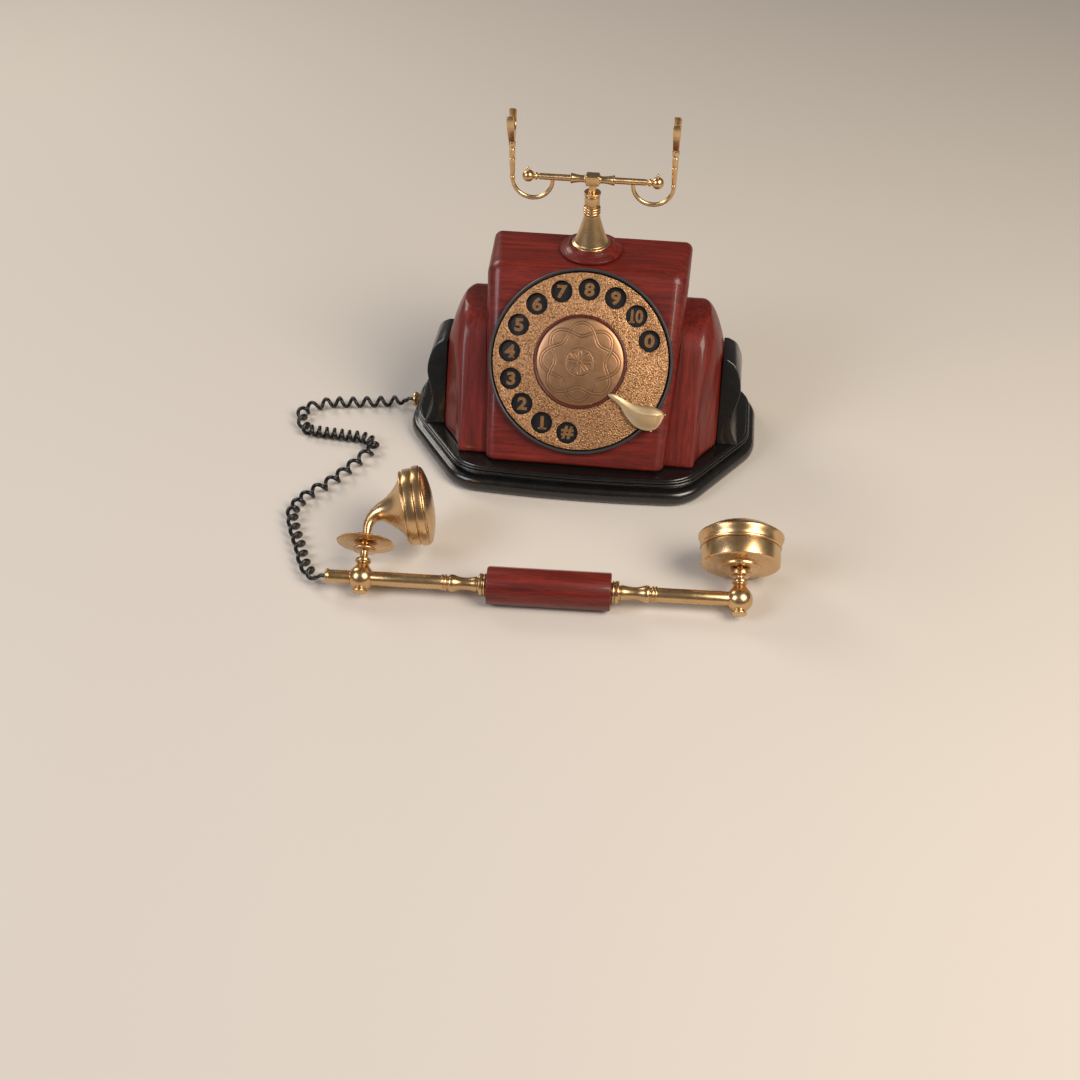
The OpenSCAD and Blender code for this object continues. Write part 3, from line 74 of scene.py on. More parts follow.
def add(material, kind, inputs=(), stops=(), **settings):
    """Adds one node with its settings and links, and a ramp's stops as (place, hex colour) pairs."""
    made = material.node_tree.nodes.new(kind)
    for name, value in settings.items():
        setattr(made, name, value)
    for name, value in dict(inputs).items():
        if isinstance(value, bpy.types.NodeSocket):
            material.node_tree.links.new(value, made.inputs[name])
        else:
            made.inputs[name].default_value = value
    while len(stops) > 2 and len(made.color_ramp.elements) < len(stops):
        made.color_ramp.elements.new(0.5)
    for i, (at, colour) in enumerate(stops):
        made.color_ramp.elements[i].position = at
        made.color_ramp.elements[i].color = linear(colour)
    return made


def finish(name, **shader):
    """A new material whose one shader is set by name, with _ for a space."""
    material = bpy.data.materials.new(name)
    material.use_nodes = True
    principled = material.node_tree.nodes["Principled BSDF"]
    for key, value in shader.items():
        principled.inputs[key.replace("_", " ")].default_value = value
    return material


def feed(material, socket, output):
    """Links an output to one socket of the material's shader."""
    principled = material.node_tree.nodes["Principled BSDF"]
    material.node_tree.links.new(output, principled.inputs[socket])


def place(material, stretch=(1, 1, 1)):
    """Object coordinates in metres, stretched for a pattern that isn't the same in all directions."""
    where = add(material, "ShaderNodeTexCoord").outputs["Object"]
    return add(material, "ShaderNodeMapping", {"Vector": where, "Scale": stretch}).outputs["Vector"]


def vary(material, per_metre, detail, tones=(), gloss=(), spread=(0, 1), relief=0.0, **stretch):
    """Varies a finish by one cloudy pattern: its tones, its roughness over the spread of the
    pattern, and its relief, whose depth is in millimetres."""
    pattern = add(material, "ShaderNodeTexNoise", {
        "Vector": place(material, **stretch), "Scale": per_metre, "Detail": detail}).outputs["Fac"]
    if tones:
        feed(material, "Base Color", add(material, "ShaderNodeValToRGB", {"Fac": pattern},
                                         tones).outputs["Color"])
    if gloss:
        feed(material, "Roughness", add(material, "ShaderNodeMapRange", {
            "Value": pattern, "From Min": spread[0], "From Max": spread[1],
            "To Min": gloss[0], "To Max": gloss[1]}).outputs["Result"])
    if relief:
        feed(material, "Normal", add(material, "ShaderNodeBump", {
            "Height": pattern, "Distance": relief * MM}).outputs["Normal"])
    return pattern


# Rubber: smooth moulded jacket, wavy in its gloss about every millimetre
rubber = finish("rubber_jacket", Base_Color=linear("#141110"), Roughness=0.3, IOR=1.5)
vary(rubber, 900, 2, gloss=(0.2, 0.36), relief=0.04)

strand_d, curl_d = 2.4, 8.0
curls_per_step, rings_per_curl = 2, 24
cord_route = [
    (-118, 5, 4.9), (-134, 3, 4.2), (-152, 0, 4.2), (-169, -3, 4.2), (-183, -14, 4.2),
    (-177, -31, 4.2), (-167, -34, 4.2), (-157, -35, 4.2), (-147, -36, 4.2), (-137, -37, 4.2),
    (-130, -45, 4.2), (-138, -64, 4.2), (-148, -82, 4.2), (-160, -98, 4.2), (-165, -113, 4.2),
    (-160, -129, 4.2), (-153, -144, 4.2), (-146, -160, 4.5), (-137, -173, 6.6)]
cord_route = [Vector(p) for p in cord_route]
gland_end = Vector((-113.8, 5, 7))
handset_place = Vector((-109.5, -173, 10.6))
handset_turn, handset_tilt, ferrule_reach = math.radians(2.3), math.radians(27.8), 20.6
ferrule_end = handset_place - ferrule_reach * Vector((math.cos(handset_turn), math.sin(handset_turn), 0))


def smooth_between(a, b, c, d, t):
    """Point at share t of the way from b to c, on the smooth curve through a, b, c and d."""
    return 0.5 * (2 * b + (c - a) * t + (2 * a - 5 * b + 4 * c - d) * t * t
                  + (3 * b - a - 3 * c + d) * t ** 3)


def on_route(u):
    """Point on the cord's route at step u, on one smooth curve through the points."""
    last = len(cord_route) - 1
    i = min(int(u), last - 1)
    return smooth_between(cord_route[max(i - 1, 0)], cord_route[i], cord_route[i + 1],
                          cord_route[min(i + 2, last)], u - i)


steps = len(cord_route) - 1
rings = steps * curls_per_step * rings_per_curl
nearby = 0.06
curl_path = []
for k in range(rings + 1):
    u = k * steps / rings
    along = (on_route(min(u + nearby, steps)) - on_route(max(u - nearby, 0))).normalized()
    side = along.cross(Vector((0, 0, 1))).normalized()
    a = 2 * math.pi * k / rings_per_curl
    reach = (curl_d - strand_d) / 2 * min(1, k / rings_per_curl, (rings - k) / rings_per_curl)
    curl_path.append(on_route(u) + reach * (math.cos(a) * side.cross(along) + math.sin(a) * side))
lead = Vector((-1.1 * strand_d, 0, 0))
cord_path = [gland_end, gland_end + lead, *curl_path, ferrule_end + lead, ferrule_end]
cord_path = [p * MM for p in cord_path]


def coat(piece, material):
    """Gives a piece one finish all over."""
    piece.data.materials.clear()
    piece.data.materials.append(material)


def rod(name, points, radii, sides, material):
    """A round rod swept along a line of points in metres, with a radius at each, as a mesh."""
    bpy.ops.object.select_all(action="DESELECT")
    line = bpy.data.curves.new(name, "CURVE")
    line.dimensions = "3D"
    line.bevel_depth = 1.0
    line.bevel_resolution = sides // 2 - 2
    line.use_fill_caps = True
    spline = line.splines.new("POLY")
    spline.points.add(len(points) - 1)
    for point, p, r in zip(spline.points, points, radii):
        point.co = (*p, 1)
        point.radius = r
    made = bpy.data.objects.new(name, line)
    bpy.context.collection.objects.link(made)
    made.select_set(True)
    bpy.context.view_layer.objects.active = made
    bpy.ops.object.convert(target="MESH")
    bpy.ops.object.shade_smooth()
    coat(bpy.context.object, material)
    return bpy.context.object


cord = rod("cord_curls", cord_path, [strand_d / 2 * MM] * len(cord_path), 10, rubber)
cord_length = sum((b - a).length for a, b in zip(cord_path, cord_path[1:]))
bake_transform(cord)
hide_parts("curly_cord")

# ---- Felt, bottom plate and screws ----
# A pressed sheet-steel plate closes the plinth from below. Green-black felt is glued under it,
# with holes for the six screws that go up into the plinth.


def dress(material, *names):
    """Gives pieces of the frame a finish."""
    for name in names:
        coat(nodes[name], material)


# Wool felt: pressed, with short fibres 0.6 mm apart that scatter light at its edge
felt = finish("wool_felt", Base_Color=linear("#24241f"), Roughness=0.95, Sheen_Weight=0.4)
vary(felt, 1600, 3, tones=((0.3, "#171713"), (0.7, "#34342c")), relief=0.2)
dress(felt, "base_felt")

# Zinc-plated steel: rolled sheet, slightly cloudy along the way it was rolled
zinc = finish("zinc_plated_steel", Base_Color=linear("#b4b7ba"), Metallic=1.0, Roughness=0.32)
vary(zinc, 1, 4, gloss=(0.22, 0.42), relief=0.02, stretch=(60, 900, 200))
dress(zinc, "base_plate", "plate_screws")

# ---- Plinth ----
# A wooden foot, moulded all round and black lacquered: a broad roll below, a cove and two beads
# above. Its front is bowed, and its corners are cut off and rounded.
plinth_half_w, plinth_half_d, plinth_bow = 110, 77, 3
plinth_cut_front, plinth_cut_side, plinth_round = 72, 22, 26


def rounded(corner, before, after, r, count=7):
    """Points of the arc that rounds one corner of an outline."""
    corner, before, after = Vector(corner), Vector(before), Vector(after)
    u, v = (before - corner).normalized(), (after - corner).normalized()
    half = u.angle(v) / 2
    centre = corner + (u + v).normalized() * r / math.sin(half)
    start, end = corner + u * r / math.tan(half) - centre, corner + v * r / math.tan(half) - centre
    return [centre + r * start.lerp(end, i / (count - 1)).normalized() for i in range(count)]


def begin(name):
    """Starts a new piece in edit mode, with nothing drawn yet."""
    bpy.ops.object.select_all(action="DESELECT")
    bpy.ops.mesh.primitive_plane_add(size=MM, location=(0, 0, 0))
    bpy.context.object.name = bpy.context.object.data.name = name
    bpy.ops.object.mode_set(mode="EDIT")
    bpy.ops.mesh.delete(type="VERT")


def draw(points):
    """Draws a line through points in millimetres, each vertex extruded from the one before."""
    bpy.ops.mesh.select_all(action="DESELECT")
    bpy.ops.mesh.primitive_plane_add(size=MM, location=Vector(points[0]) * MM)
    bpy.ops.mesh.merge(type="CENTER")
    for a, b in zip(points, points[1:]):
        step = (Vector(b) - Vector(a)) * MM
        bpy.ops.mesh.extrude_vertices_move(TRANSFORM_OT_translate={"value": step})


def weld():
    """Selects the whole piece and merges the points that meet."""
    bpy.ops.mesh.select_all(action="SELECT")
    bpy.ops.mesh.remove_doubles(threshold=0.004 * MM)


def settle(piece, at):
    """Moves a selected piece to its place, and keeps that place in its mesh."""
    piece.matrix_world = at
    bpy.ops.object.transform_apply(location=True, rotation=True, scale=True)


def complete(material, at=None, corner=35, ease=0.0, steps=2):
    """Closes the seams, turns the faces outwards, eases the edges, and puts the piece in its place."""
    weld()
    bpy.ops.mesh.normals_make_consistent(inside=False)
    bpy.ops.object.mode_set(mode="OBJECT")
    piece = bpy.context.object
    if ease:
        eased = piece.modifiers.new("eased_edges", "BEVEL")
        eased.width, eased.segments, eased.angle_limit = ease * MM, steps, math.radians(40)
        bpy.ops.object.modifier_apply(modifier=eased.name)
    bpy.ops.object.shade_smooth_by_angle(angle=math.radians(corner))
    if at:
        settle(piece, at)
    piece.data.materials.append(material)
    return piece


def arc(x, z, wide, tall, angles):
    """(x, z) points of an arc round a centre, at angles in degrees."""
    return [(x + wide * math.cos(math.radians(a)), z + tall * math.sin(math.radians(a))) for a in angles]


def bead(low, high, inset, depth):
    """Half-round moulding between two heights, as (inset, height) pairs."""
    return arc(inset + depth, (low + high) / 2, -depth, (high - low) / 2, range(-84, 85, 12))


# Black lacquer: sprayed and polished, deep gloss that rubbing left slightly uneven
lacquer = finish("black_lacquer", Base_Color=linear("#100e0d"), Roughness=0.24, Coat_Weight=0.4,
                 Coat_Roughness=0.12)
vary(lacquer, 120, 6, gloss=(0.2, 0.34), spread=(0.3, 0.7), relief=0.04)

front_cut, side_cut = (plinth_cut_front, -plinth_half_d, 0), (plinth_half_w, -plinth_cut_side, 0)
shares = [i / 8 for i in range(-6, 7)]
front_bow = [(plinth_cut_front * t, -plinth_half_d - plinth_bow * (1 - t * t), 0) for t in shares]
quarter = (rounded(front_cut, front_bow[-1], side_cut, plinth_round)
           + rounded(side_cut, front_cut, (plinth_half_w, 0, 0), plinth_round))
half_outline = front_bow + quarter + [Vector((p[0], -p[1], 0)) for p in reversed(quarter)]
half_outline += [(p[0], -p[1], 0) for p in reversed(front_bow)]
plinth_outline = half_outline + [Vector((-p[0], -p[1], 0)) for p in quarter]
plinth_outline += [Vector((-p[0], p[1], 0)) for p in reversed(quarter)]
plinth_levels = ([(3, 0.4)] + bead(0.4, 9.9, 0, 3) + [(5.2, 10.1), (6.0, 10.6), (6.4, 11.3), (6.2, 12.0),
                 (5.4, 12.4)] + bead(12.5, 14.3, 4, 1) + bead(14.4, 16, 4.6, 1)
                 + [(6.1, 16.1), (6.4, 16.5), (64, 16.5), (64, 12.5), (13, 12.5), (13, 2.7), (7, 2.7),
                    (7, 0.4), (3, 0.4)])
begin("plinth_moulding")
first_inset, first_z = plinth_levels[0]
shrink = Matrix.Diagonal((1 - first_inset / plinth_half_w, 1 - first_inset / plinth_half_d, 1))
draw([shrink @ Vector(p) + Vector((0, 0, first_z)) for p in plinth_outline + plinth_outline[:1]])
weld()
for (inset, z), (next_inset, next_z) in zip(plinth_levels, plinth_levels[1:]):
    bpy.ops.mesh.extrude_region_move(TRANSFORM_OT_translate={"value": (0, 0, (next_z - z) * MM)})
    bpy.ops.transform.resize(value=((plinth_half_w - next_inset) / (plinth_half_w - inset),
                                    (plinth_half_d - next_inset) / (plinth_half_d - inset), 1),
                             center_override=(0, 0, 0))
plinth = complete(lacquer)


def stands(piece, body, slot, *names):
    """Says which body the piece moves with and hides the pieces of the frame it is; the slot, its finish, is
    not used.
    """
    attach(piece, body)
    if names:
        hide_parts(*names)


stands(plinth, "base", "black_lacquer", "plinth")

# ---- Line socket and cord gland ----
# A black moulded socket is let into the plinth's back. The curly cord leaves the left side
# through a turned brass gland with a rounded lip.


def moved(x, y, z):
    """A move in millimetres."""
    return Matrix.Translation(Vector((x, y, z)) * MM)


def tilted(degrees, axis):
    """A turn about one axis."""
    return Matrix.Rotation(math.radians(degrees), 4, axis)


def turn(name, profile, material, at=None, steps=72, corner=35, ease=0.15):
    """A lathe-turned piece: (radius, height) points in millimetres, corners eased, spun about +Z."""
    eased = [Vector((*profile[0], 0))]
    for a, b, c in zip(profile, profile[1:], profile[2:]):
        a, b, c = Vector((*a, 0)), Vector((*b, 0)), Vector((*c, 0))
        reach = min(ease, 0.4 * (b - a).length, 0.4 * (c - b).length)
        if (b - a).angle(c - b) < 0.4:
            eased.append(b)
            continue
        start, end = b + (a - b).normalized() * reach, b + (c - b).normalized() * reach
        eased += [start, (start + end + 2 * b) / 4, end]
    eased.append(Vector((*profile[-1], 0)))
    begin(name)
    draw([(p.x, 0, p.y) for p in eased])
    bpy.ops.mesh.select_all(action="SELECT")
    bpy.ops.mesh.spin(steps=steps, angle=2 * math.pi, center=(0, 0, 0), axis=(0, 0, 1))
    return complete(material, at, corner)


def flowing(*points, count=5):
    """A smooth contour through (radius, height) points."""
    last = len(points) - 1
    smooth = []
    for i in range(last):
        near = [Vector(points[max(0, min(k, last))]) for k in range(i - 1, i + 3)]
        smooth += [tuple(smooth_between(*near, k / count)) for k in range(count)]
    return smooth + [tuple(points[-1])]


def polished(name, low, high, smooth, dull):
    """A polished copper alloy: two tones that drift slowly over it, and a gloss that varies a little."""
    metal = finish(name, Metallic=1.0, Roughness=smooth)
    vary(metal, 45, 2, tones=((0.3, low), (0.68, high)))
    vary(metal, 160, 2, gloss=(smooth, dull), spread=(0.3, 0.7), relief=0.002)
    return metal


# Phenolic resin: moulded, plain black with half gloss
phenolic = finish("black_phenolic", Base_Color=linear("#1b1918"), Roughness=0.34)
vary(phenolic, 300, 4, gloss=(0.26, 0.42))
dress(phenolic, "line_socket")

# Satin brass: turned, brushed and lacquered, pale gold with soft reflections
brass = polished("satin_brass", "#cfaa7a", "#dab88a", 0.24, 0.3)
gland = turn("gland_nut", [(0, 0), (2.6, 0), (3.6, 0.3)] + flowing((4.5, 0.9), (4.8, 1.8), (4.5, 2.8))
             + [(4.2, 3.2), (4.2, 3.5), (3.5, 3.5), (3.5, 17.5), (0, 17.5)], brass,
             moved(-113.5, 5, 7) @ tilted(90, "Y"))
stands(gland, "base", "polished_brass", "cord_gland")

# ---- Case ----
# A middle block with a leaning face, of solid mahogany with rounded edges, stained red and
# varnished. Its grain lies across.


def mahogany(name, figure_size, turned=(0, 0, 0), start=(0, 0, 0)):
    """Red-stained mahogany under varnish; the figure's size in metres gives the grain's direction."""
    wood = finish(name, Roughness=0.46, Specular_IOR_Level=0.3, Coat_Weight=0.35, Coat_Roughness=0.1,
                  Coat_IOR=1.5)
    where = add(wood, "ShaderNodeMapping", {
        "Vector": add(wood, "ShaderNodeTexCoord").outputs["Object"], "Location": start,
        "Rotation": turned, "Scale": figure_size}, vector_type="TEXTURE").outputs["Vector"]
    figure = add(wood, "ShaderNodeTexNoise", {"Vector": where, "Scale": 1.0, "Detail": 7.0,
                                              "Roughness": 0.62, "Distortion": 0.5})
    figure_tone = add(wood, "ShaderNodeValToRGB", {"Fac": figure.outputs["Fac"]},
                      ((0.28, "#480e08"), (0.48, "#66170d"), (0.7, "#802517")))
    pores = add(wood, "ShaderNodeTexNoise", {"Vector": where, "Scale": 7.0, "Detail": 3.0})
    pore_tone = add(wood, "ShaderNodeValToRGB", {"Fac": pores.outputs["Fac"]},
                    ((0.36, "#5a1512"), (0.5, "#ffffff")))
    mixed = add(wood, "ShaderNodeMix", {"Factor": 0.4}, data_type="RGBA", blend_type="MULTIPLY")
    wood.node_tree.links.new(figure_tone.outputs["Color"], mixed.inputs[6])
    wood.node_tree.links.new(pore_tone.outputs["Color"], mixed.inputs[7])
    feed(wood, "Base Color", mixed.outputs[2])
    feed(wood, "Normal", add(wood, "ShaderNodeBump", {
        "Height": pores.outputs["Fac"], "Distance": 0.03 * MM}).outputs["Normal"])
    return wood


# Mahogany: planed, grain-filled, stained red and varnished. Its streaks are 3 mm and its pores 0.4 mm wide
across_wood = mahogany("mahogany_across", (0.05, 0.003, 0.003))
dress(across_wood, "centre_block")

# ---- Side blocks ----
# A lower block of the same wood at each side of the case, its front set back. Its corners are cut
# off in a long S curve, and its shoulder falls away to the outside.
side_foot, side_top, foot_round, top_round = 16.5, 88, 3.5, 12
face_lean, block_front, block_back, back_slope = math.radians(34), -60.5, 48, 0.252
block_inner, inner_slope, corner_x, corner_wide, corner_deep = 55.1, 0.0697, 70.5, 15, 64
low_z, high_z, shoulder_z, shoulder_fall, shoulder_power = 20, 72, 64, 0.63, 1.35
corner_low = flowing((70.5, 0), (72.2, 0.5), (73, 2.4), (73.4, 5.4), (75.8, 10.6), (79.6, 16.4),
                     (83.2, 21.2), (85, 24.6), (85.5, 28), count=3)
corner_high = flowing((70.5, 0), (73.6, 0.7), (76.2, 2.4), (78.4, 4.8), (80.4, 7.8), (82.1, 11.2),
                      (83.6, 15), (84.8, 19.4), (85.5, 24), count=3)
block_levels = arc(side_foot + foot_round, foot_round, -foot_round, -foot_round, range(0, 91, 15))
block_levels += [(z, 0.0) for z in range(24, 76, 4)]
block_levels += arc(side_top - top_round, top_round, top_round, -top_round, range(90, -1, -9))


def join_outlines():
    """Bridges the closed outlines drawn so far, each to the next, and fills both ends."""
    weld()
    bpy.ops.mesh.bridge_edge_loops()
    bpy.ops.mesh.select_all(action="SELECT")
    bpy.ops.mesh.fill_holes(sides=0)


# Mahogany as on the case, its grain standing along the leaning face
upright_wood = mahogany("mahogany_upright", (0.003, 0.003, 0.05), turned=(-face_lean, 0, 0))
for name, side in (("left", -1), ("right", 1)):
    begin("stained_block_" + name)
    for z, inset in block_levels:
        rise = z - side_foot
        front = rise * math.tan(face_lean) + block_front + inset
        back = block_back - back_slope * rise - inset
        inner = block_inner + inner_slope * rise
        fall = 1 - shoulder_fall * (max(0, z - shoulder_z) / (side_top - shoulder_z)) ** shoulder_power
        wide = fall - inset / corner_wide if z < low_z else fall
        deep = min(0.1 + 0.9 * fall, (back - front) / corner_deep)
        soft = min(1.0, max(0.0, (z - low_z) / (high_z - low_z)))
        edge = [(corner_x + (low[0] + (high[0] - low[0]) * soft - corner_x) * wide,
                 (low[1] + (high[1] - low[1]) * soft) * deep)
                for low, high in zip(corner_low, corner_high)]
        draw([(side * inner, front, z)] + [(side * x, front + y, z) for x, y in edge]
             + [(side * x, back - y, z) for x, y in reversed(edge)]
             + [(side * inner, back, z), (side * inner, front, z)])
    join_outlines()
    block = complete(upright_wood, corner=50)
    stands(block, "base", "red_wood", "side_block_" + name)

# ---- Cheeks ----
# A bracket moulding on each side of the case, cut to an S curve, black lacquered and screwed on
# from inside. Its ends follow the slope of the block behind it.
cheek_x, cheek_h, cheek_belly = 85.6, 48, 11
cheek_ends = ((-31.6, -8.8), (17.9, 15.9))
cheek_line = flowing((1.2, 0), (0.88, 0.12), (0.75, 0.24), (0.88, 0.4), (1.08, 0.55), (1.13, 0.66),
                     (1, 0.8), (0.72, 0.93), (0.25, 1), count=4)
cheek_section = [(cheek_x, 1.0), (cheek_x, 0.0)]
cheek_section += [(cheek_x + p[0] * cheek_belly, p[1]) for p in cheek_line] + [(cheek_x, 1.0)]
for name, side in (("left", -1), ("right", 1)):
    begin("cheek_moulding_" + name)
    for foot_y, top_y in cheek_ends:
        draw([(side * x, foot_y + (top_y - foot_y) * rise, side_foot + cheek_h * rise)
              for x, rise in cheek_section])
    join_outlines()
    cheek = complete(lacquer, ease=1.6, steps=4)
    stands(cheek, "base", "black_lacquer", "cheek_" + name)

# ---- Dial housing and number plate ----
# A spun steel dish with a slim slate-coloured rim, set into the leaning face by its spigot. The
# plate in it is black vitreous enamel with bronze numbers.
to_dial = moved(0, -31.705, 71.051) @ tilted(56, "X")
number_z = 2.2

# Slate enamel: stoved on the steel, half gloss, with pits 1.4 mm apart
slate = finish("slate_enamel", Base_Color=linear("#343336"), Roughness=0.34)
vary(slate, 700, 3, gloss=(0.26, 0.46), relief=0.03)
dish = turn("dial_dish", [
    (6.7, 0), (6.7, 1), (53.7, 1), (53.7, 3.6), (54.0, 4.4), (54.6, 4.9), (55.2, 4.9), (55.7, 4.3),
    (55.8, 3.4), (55.8, 0), (41.8, 0), (41.8, -4), (40, -4), (40, 0), (6.7, 0)], slate, to_dial, 160)
stands(dish, "base", "dark_rim", "dial_pan")

# Vitreous enamel: fused black glass, wavy in its gloss about every 6 mm
glass = finish("black_enamel", Base_Color=linear("#1c1b1e"), Roughness=0.22, Coat_Weight=0.5,
               Coat_Roughness=0.05)
vary(glass, 160, 2, gloss=(0.16, 0.34), relief=0.05)
plate = turn("enamel_plate", [(6.7, 1), (6.7, number_z), (53.65, number_z), (53.65, 1), (6.7, 1)], glass,
             to_dial, 120)
stands(plate, "base", "number_plate", "number_plate")

# Bronze figures: etched, dull, with grain 0.7 mm wide, and raised a little from the plate
figure_bronze = finish("etched_bronze", Base_Color=linear("#8d6a48"), Metallic=1.0, Roughness=0.55)
vary(figure_bronze, 1500, 3, tones=((0.3, "#76563a"), (0.7, "#a9825a")), relief=0.06)


def join(name, pieces):
    """Makes several pieces one, under one name."""
    bpy.ops.object.select_all(action="DESELECT")
    for piece in pieces:
        piece.select_set(True)
    bpy.context.view_layer.objects.active = pieces[0]
    bpy.ops.object.join()
    pieces[0].name = pieces[0].data.name = name
    return pieces[0]


hole_circle_r, hole_r, first_hole, hole_pitch = 43.3, 6.5, 69.5, 22.1
hole_angles = [math.radians(first_hole - i * hole_pitch) for i in range(12)]
hole_places = [(hole_circle_r * math.sin(a), hole_circle_r * math.cos(a)) for a in hole_angles]
figure_h, figure_thick, figure_weight, figure_z = 10.2, 0.15, 0.42, number_z + 0.12
serifs = {"1": (0.3, 5.2), "10": (-3.0, 3.6), "4": (1.1, 3.6)}
serif_drop, serif_h, serif_thick = 3.6, 1.1, 0.3
figures = []
for (x, y), mark in zip(hole_places, ("0", "10", "9", "8", "7", "6", "5", "4", "3", "2", "1", "#")):
    bpy.ops.object.select_all(action="DESELECT")
    bpy.ops.object.text_add()
    figure = bpy.context.object
    figure.data.body, figure.data.align_x, figure.data.align_y = mark, "CENTER", "CENTER"
    figure.data.size, figure.data.extrude = figure_h * MM, figure_thick * MM
    figure.data.offset, figure.data.resolution_u = figure_weight * MM, 6
    figure.scale = (0.86 if mark == "10" else 1.15, 1, 1)
    bpy.ops.object.convert(target="MESH")
    figure = bpy.context.object
    low, high = (f([c[0] for c in figure.bound_box]) * figure.scale.x for f in (min, max))
    base, top = (f([c[1] for c in figure.bound_box]) for f in (min, max))
    figure.location = (x * MM - (low + high) / 2, y * MM - (base + top) / 2, figure_z * MM)
    bpy.ops.object.transform_apply(location=True, rotation=True, scale=True)
    if mark in serifs:
        serif_x, serif_wide = serifs[mark]
        bpy.ops.object.mode_set(mode="EDIT")
        bpy.ops.mesh.primitive_cube_add(size=MM, location=(
            (x + serif_x) * MM, (y - serif_drop) * MM, figure_z * MM))
        bpy.ops.transform.resize(value=(serif_wide, serif_h, serif_thick))
        bpy.ops.object.mode_set(mode="OBJECT")
    figures.append(figure)
numbers = join("dial_numbers", figures)
settle(numbers, to_dial)
coat(numbers, figure_bronze)
stands(numbers, "base", "bronze")

# ---- Finger wheel ----
# A disc of copper-coloured bronze with twelve finger holes, its face stippled all over with a
# blunt punch, then brushed, so that the high spots shine and the hollows stay brown.
wheel_low, wheel_high, wheel_r, shaft_hole_r = 3.2, 5.4, 53, 3.1

# Stippled bronze: punch marks 0.9 mm apart and 0.14 mm deep, bright between them
stippled = finish("stippled_bronze", Metallic=1.0, Roughness=0.36)
punched = add(stippled, "ShaderNodeTexNoise", {"Vector": place(stippled), "Scale": 1100.0, "Detail": 2.0,
                                               "Distortion": 0.8})
marks = add(stippled, "ShaderNodeMapRange", {
    "Value": punched.outputs["Fac"], "From Min": 0.36, "From Max": 0.62}).outputs["Result"]
feed(stippled, "Base Color", add(stippled, "ShaderNodeValToRGB", {"Fac": marks}, (
    (0.0, "#6c4830"), (0.35, "#a2774f"), (1.0, "#cfa27a"))).outputs["Color"])
feed(stippled, "Roughness", add(stippled, "ShaderNodeMapRange", {
    "Value": marks, "To Min": 0.5, "To Max": 0.3}).outputs["Result"])
feed(stippled, "Normal", add(stippled, "ShaderNodeBump", {
    "Height": marks, "Distance": 0.14 * MM}).outputs["Normal"])
begin("stippled_wheel")
circles = [(160, wheel_r, (0, 0)), (40, shaft_hole_r, (0, 0))] + [(48, hole_r, p) for p in hole_places]
for count, r, (x, y) in circles:
    bpy.ops.mesh.primitive_circle_add(vertices=count, radius=r * MM,
                                      location=(x * MM, y * MM, wheel_low * MM))
bpy.ops.mesh.select_all(action="SELECT")
bpy.ops.mesh.fill(use_beauty=True)
wheel_thick = (wheel_high - wheel_low) * MM
bpy.ops.mesh.extrude_region_move(TRANSFORM_OT_translate={"value": (0, 0, wheel_thick)})
wheel = complete(stippled, to_dial, ease=0.25, steps=3)
# Painted shade: the upright walls of the finger holes and the shaft hole take the dark slate enamel instead
# of the bronze, so they look shaded inside the holes.
wheel.data.materials.append(slate)
dial_axis, from_dial, shaded_walls_r = to_dial.to_3x3().col[2], to_dial.inverted(), 51
for face in wheel.data.polygons:
    upright = abs(face.normal @ dial_axis) < 0.3
    if upright and (from_dial @ face.center).xy.length < shaded_walls_r * MM:
        face.material_index = 1
stands(wheel, "dial", "hammered_copper", "finger_wheel")

# ---- Red ring and centre disc ----
# A dark red knurled ring sits on the wheel round a satin bronze cap, engraved with two
# interlaced bands and a rosette of leaves.
ring_in, ring_out, ring_middle, knurls, knurl_deep, knurl_inset = 26.5, 28.4, 27.2, 88, 0.5, 0.006
cap_r, cap_low, cap_rise = 26.4, 5.7, 2.3

# Red enamel on brass: stoved, dull, with worn specks 1 mm apart
red = finish("red_enamel", Base_Color=linear("#4a130d"), Roughness=0.4)
vary(red, 900, 4, tones=((0.3, "#300b08"), (0.7, "#652014")), relief=0.05)
ring = turn("knurled_ring", [(ring_in, wheel_high), (ring_in, 6.1), (26.9, 6.5), (27.4, 6.6),
                             (28.0, 6.4), (ring_out, 5.9), (ring_out, wheel_high), (ring_in, wheel_high)],
            red, None, 176, ease=0.0)
for vertex in ring.data.vertices:
    spot = vertex.co
    knurl = math.degrees(math.atan2(spot.y, spot.x)) / 360 * knurls
    if spot.z > 5.7 * MM and abs(knurl - round(knurl)) > 0.25:
        spot.z -= knurl_deep * MM
        spot.xy = spot.xy * (1 - knurl_inset * (1 if spot.xy.length > ring_middle * MM else -1))
settle(ring, to_dial)
stands(ring, "dial", "red_ring", "centre_ring")


band_r, band_swing, band_half, crossing_half = 19.4, 4.1, 0.75, 0.95
rosette_r, leaf_r, leaf_steep, eye_r, circle_r = 9, 7.2, 28, 1.3, 8.3
line_half, cut_depth, engraved_r = 0.3, 0.16, 25


def engraved(r, angle):
    """Depth in millimetres of the engraving on the cap at a radius and an angle."""
    nearest = line_half
    over = math.cos(angle * 4 + math.pi / 2) > 0
    for sign in (1, -1):
        middle = band_r + sign * band_swing * math.cos(4 * angle)
        other = band_r - sign * band_swing * math.cos(4 * angle)
        slant = math.sqrt(1 + (4 * band_swing * math.sin(4 * angle) / middle) ** 2)
        if (sign > 0) == over or abs(r - other) >= crossing_half * slant:
            nearest = min(nearest, abs(abs(r - middle) / slant - band_half))
    if r < rosette_r:
        leaf = leaf_r * abs(math.cos(4 * angle))
        slant = math.sqrt(1 + (leaf_steep * math.sin(8 * angle) / max(leaf, 2)) ** 2 / 4)
        nearest = min(nearest, abs(r - leaf) / slant, abs(r - eye_r), abs(r - circle_r))
    return cut_depth * (1 - nearest / line_half)


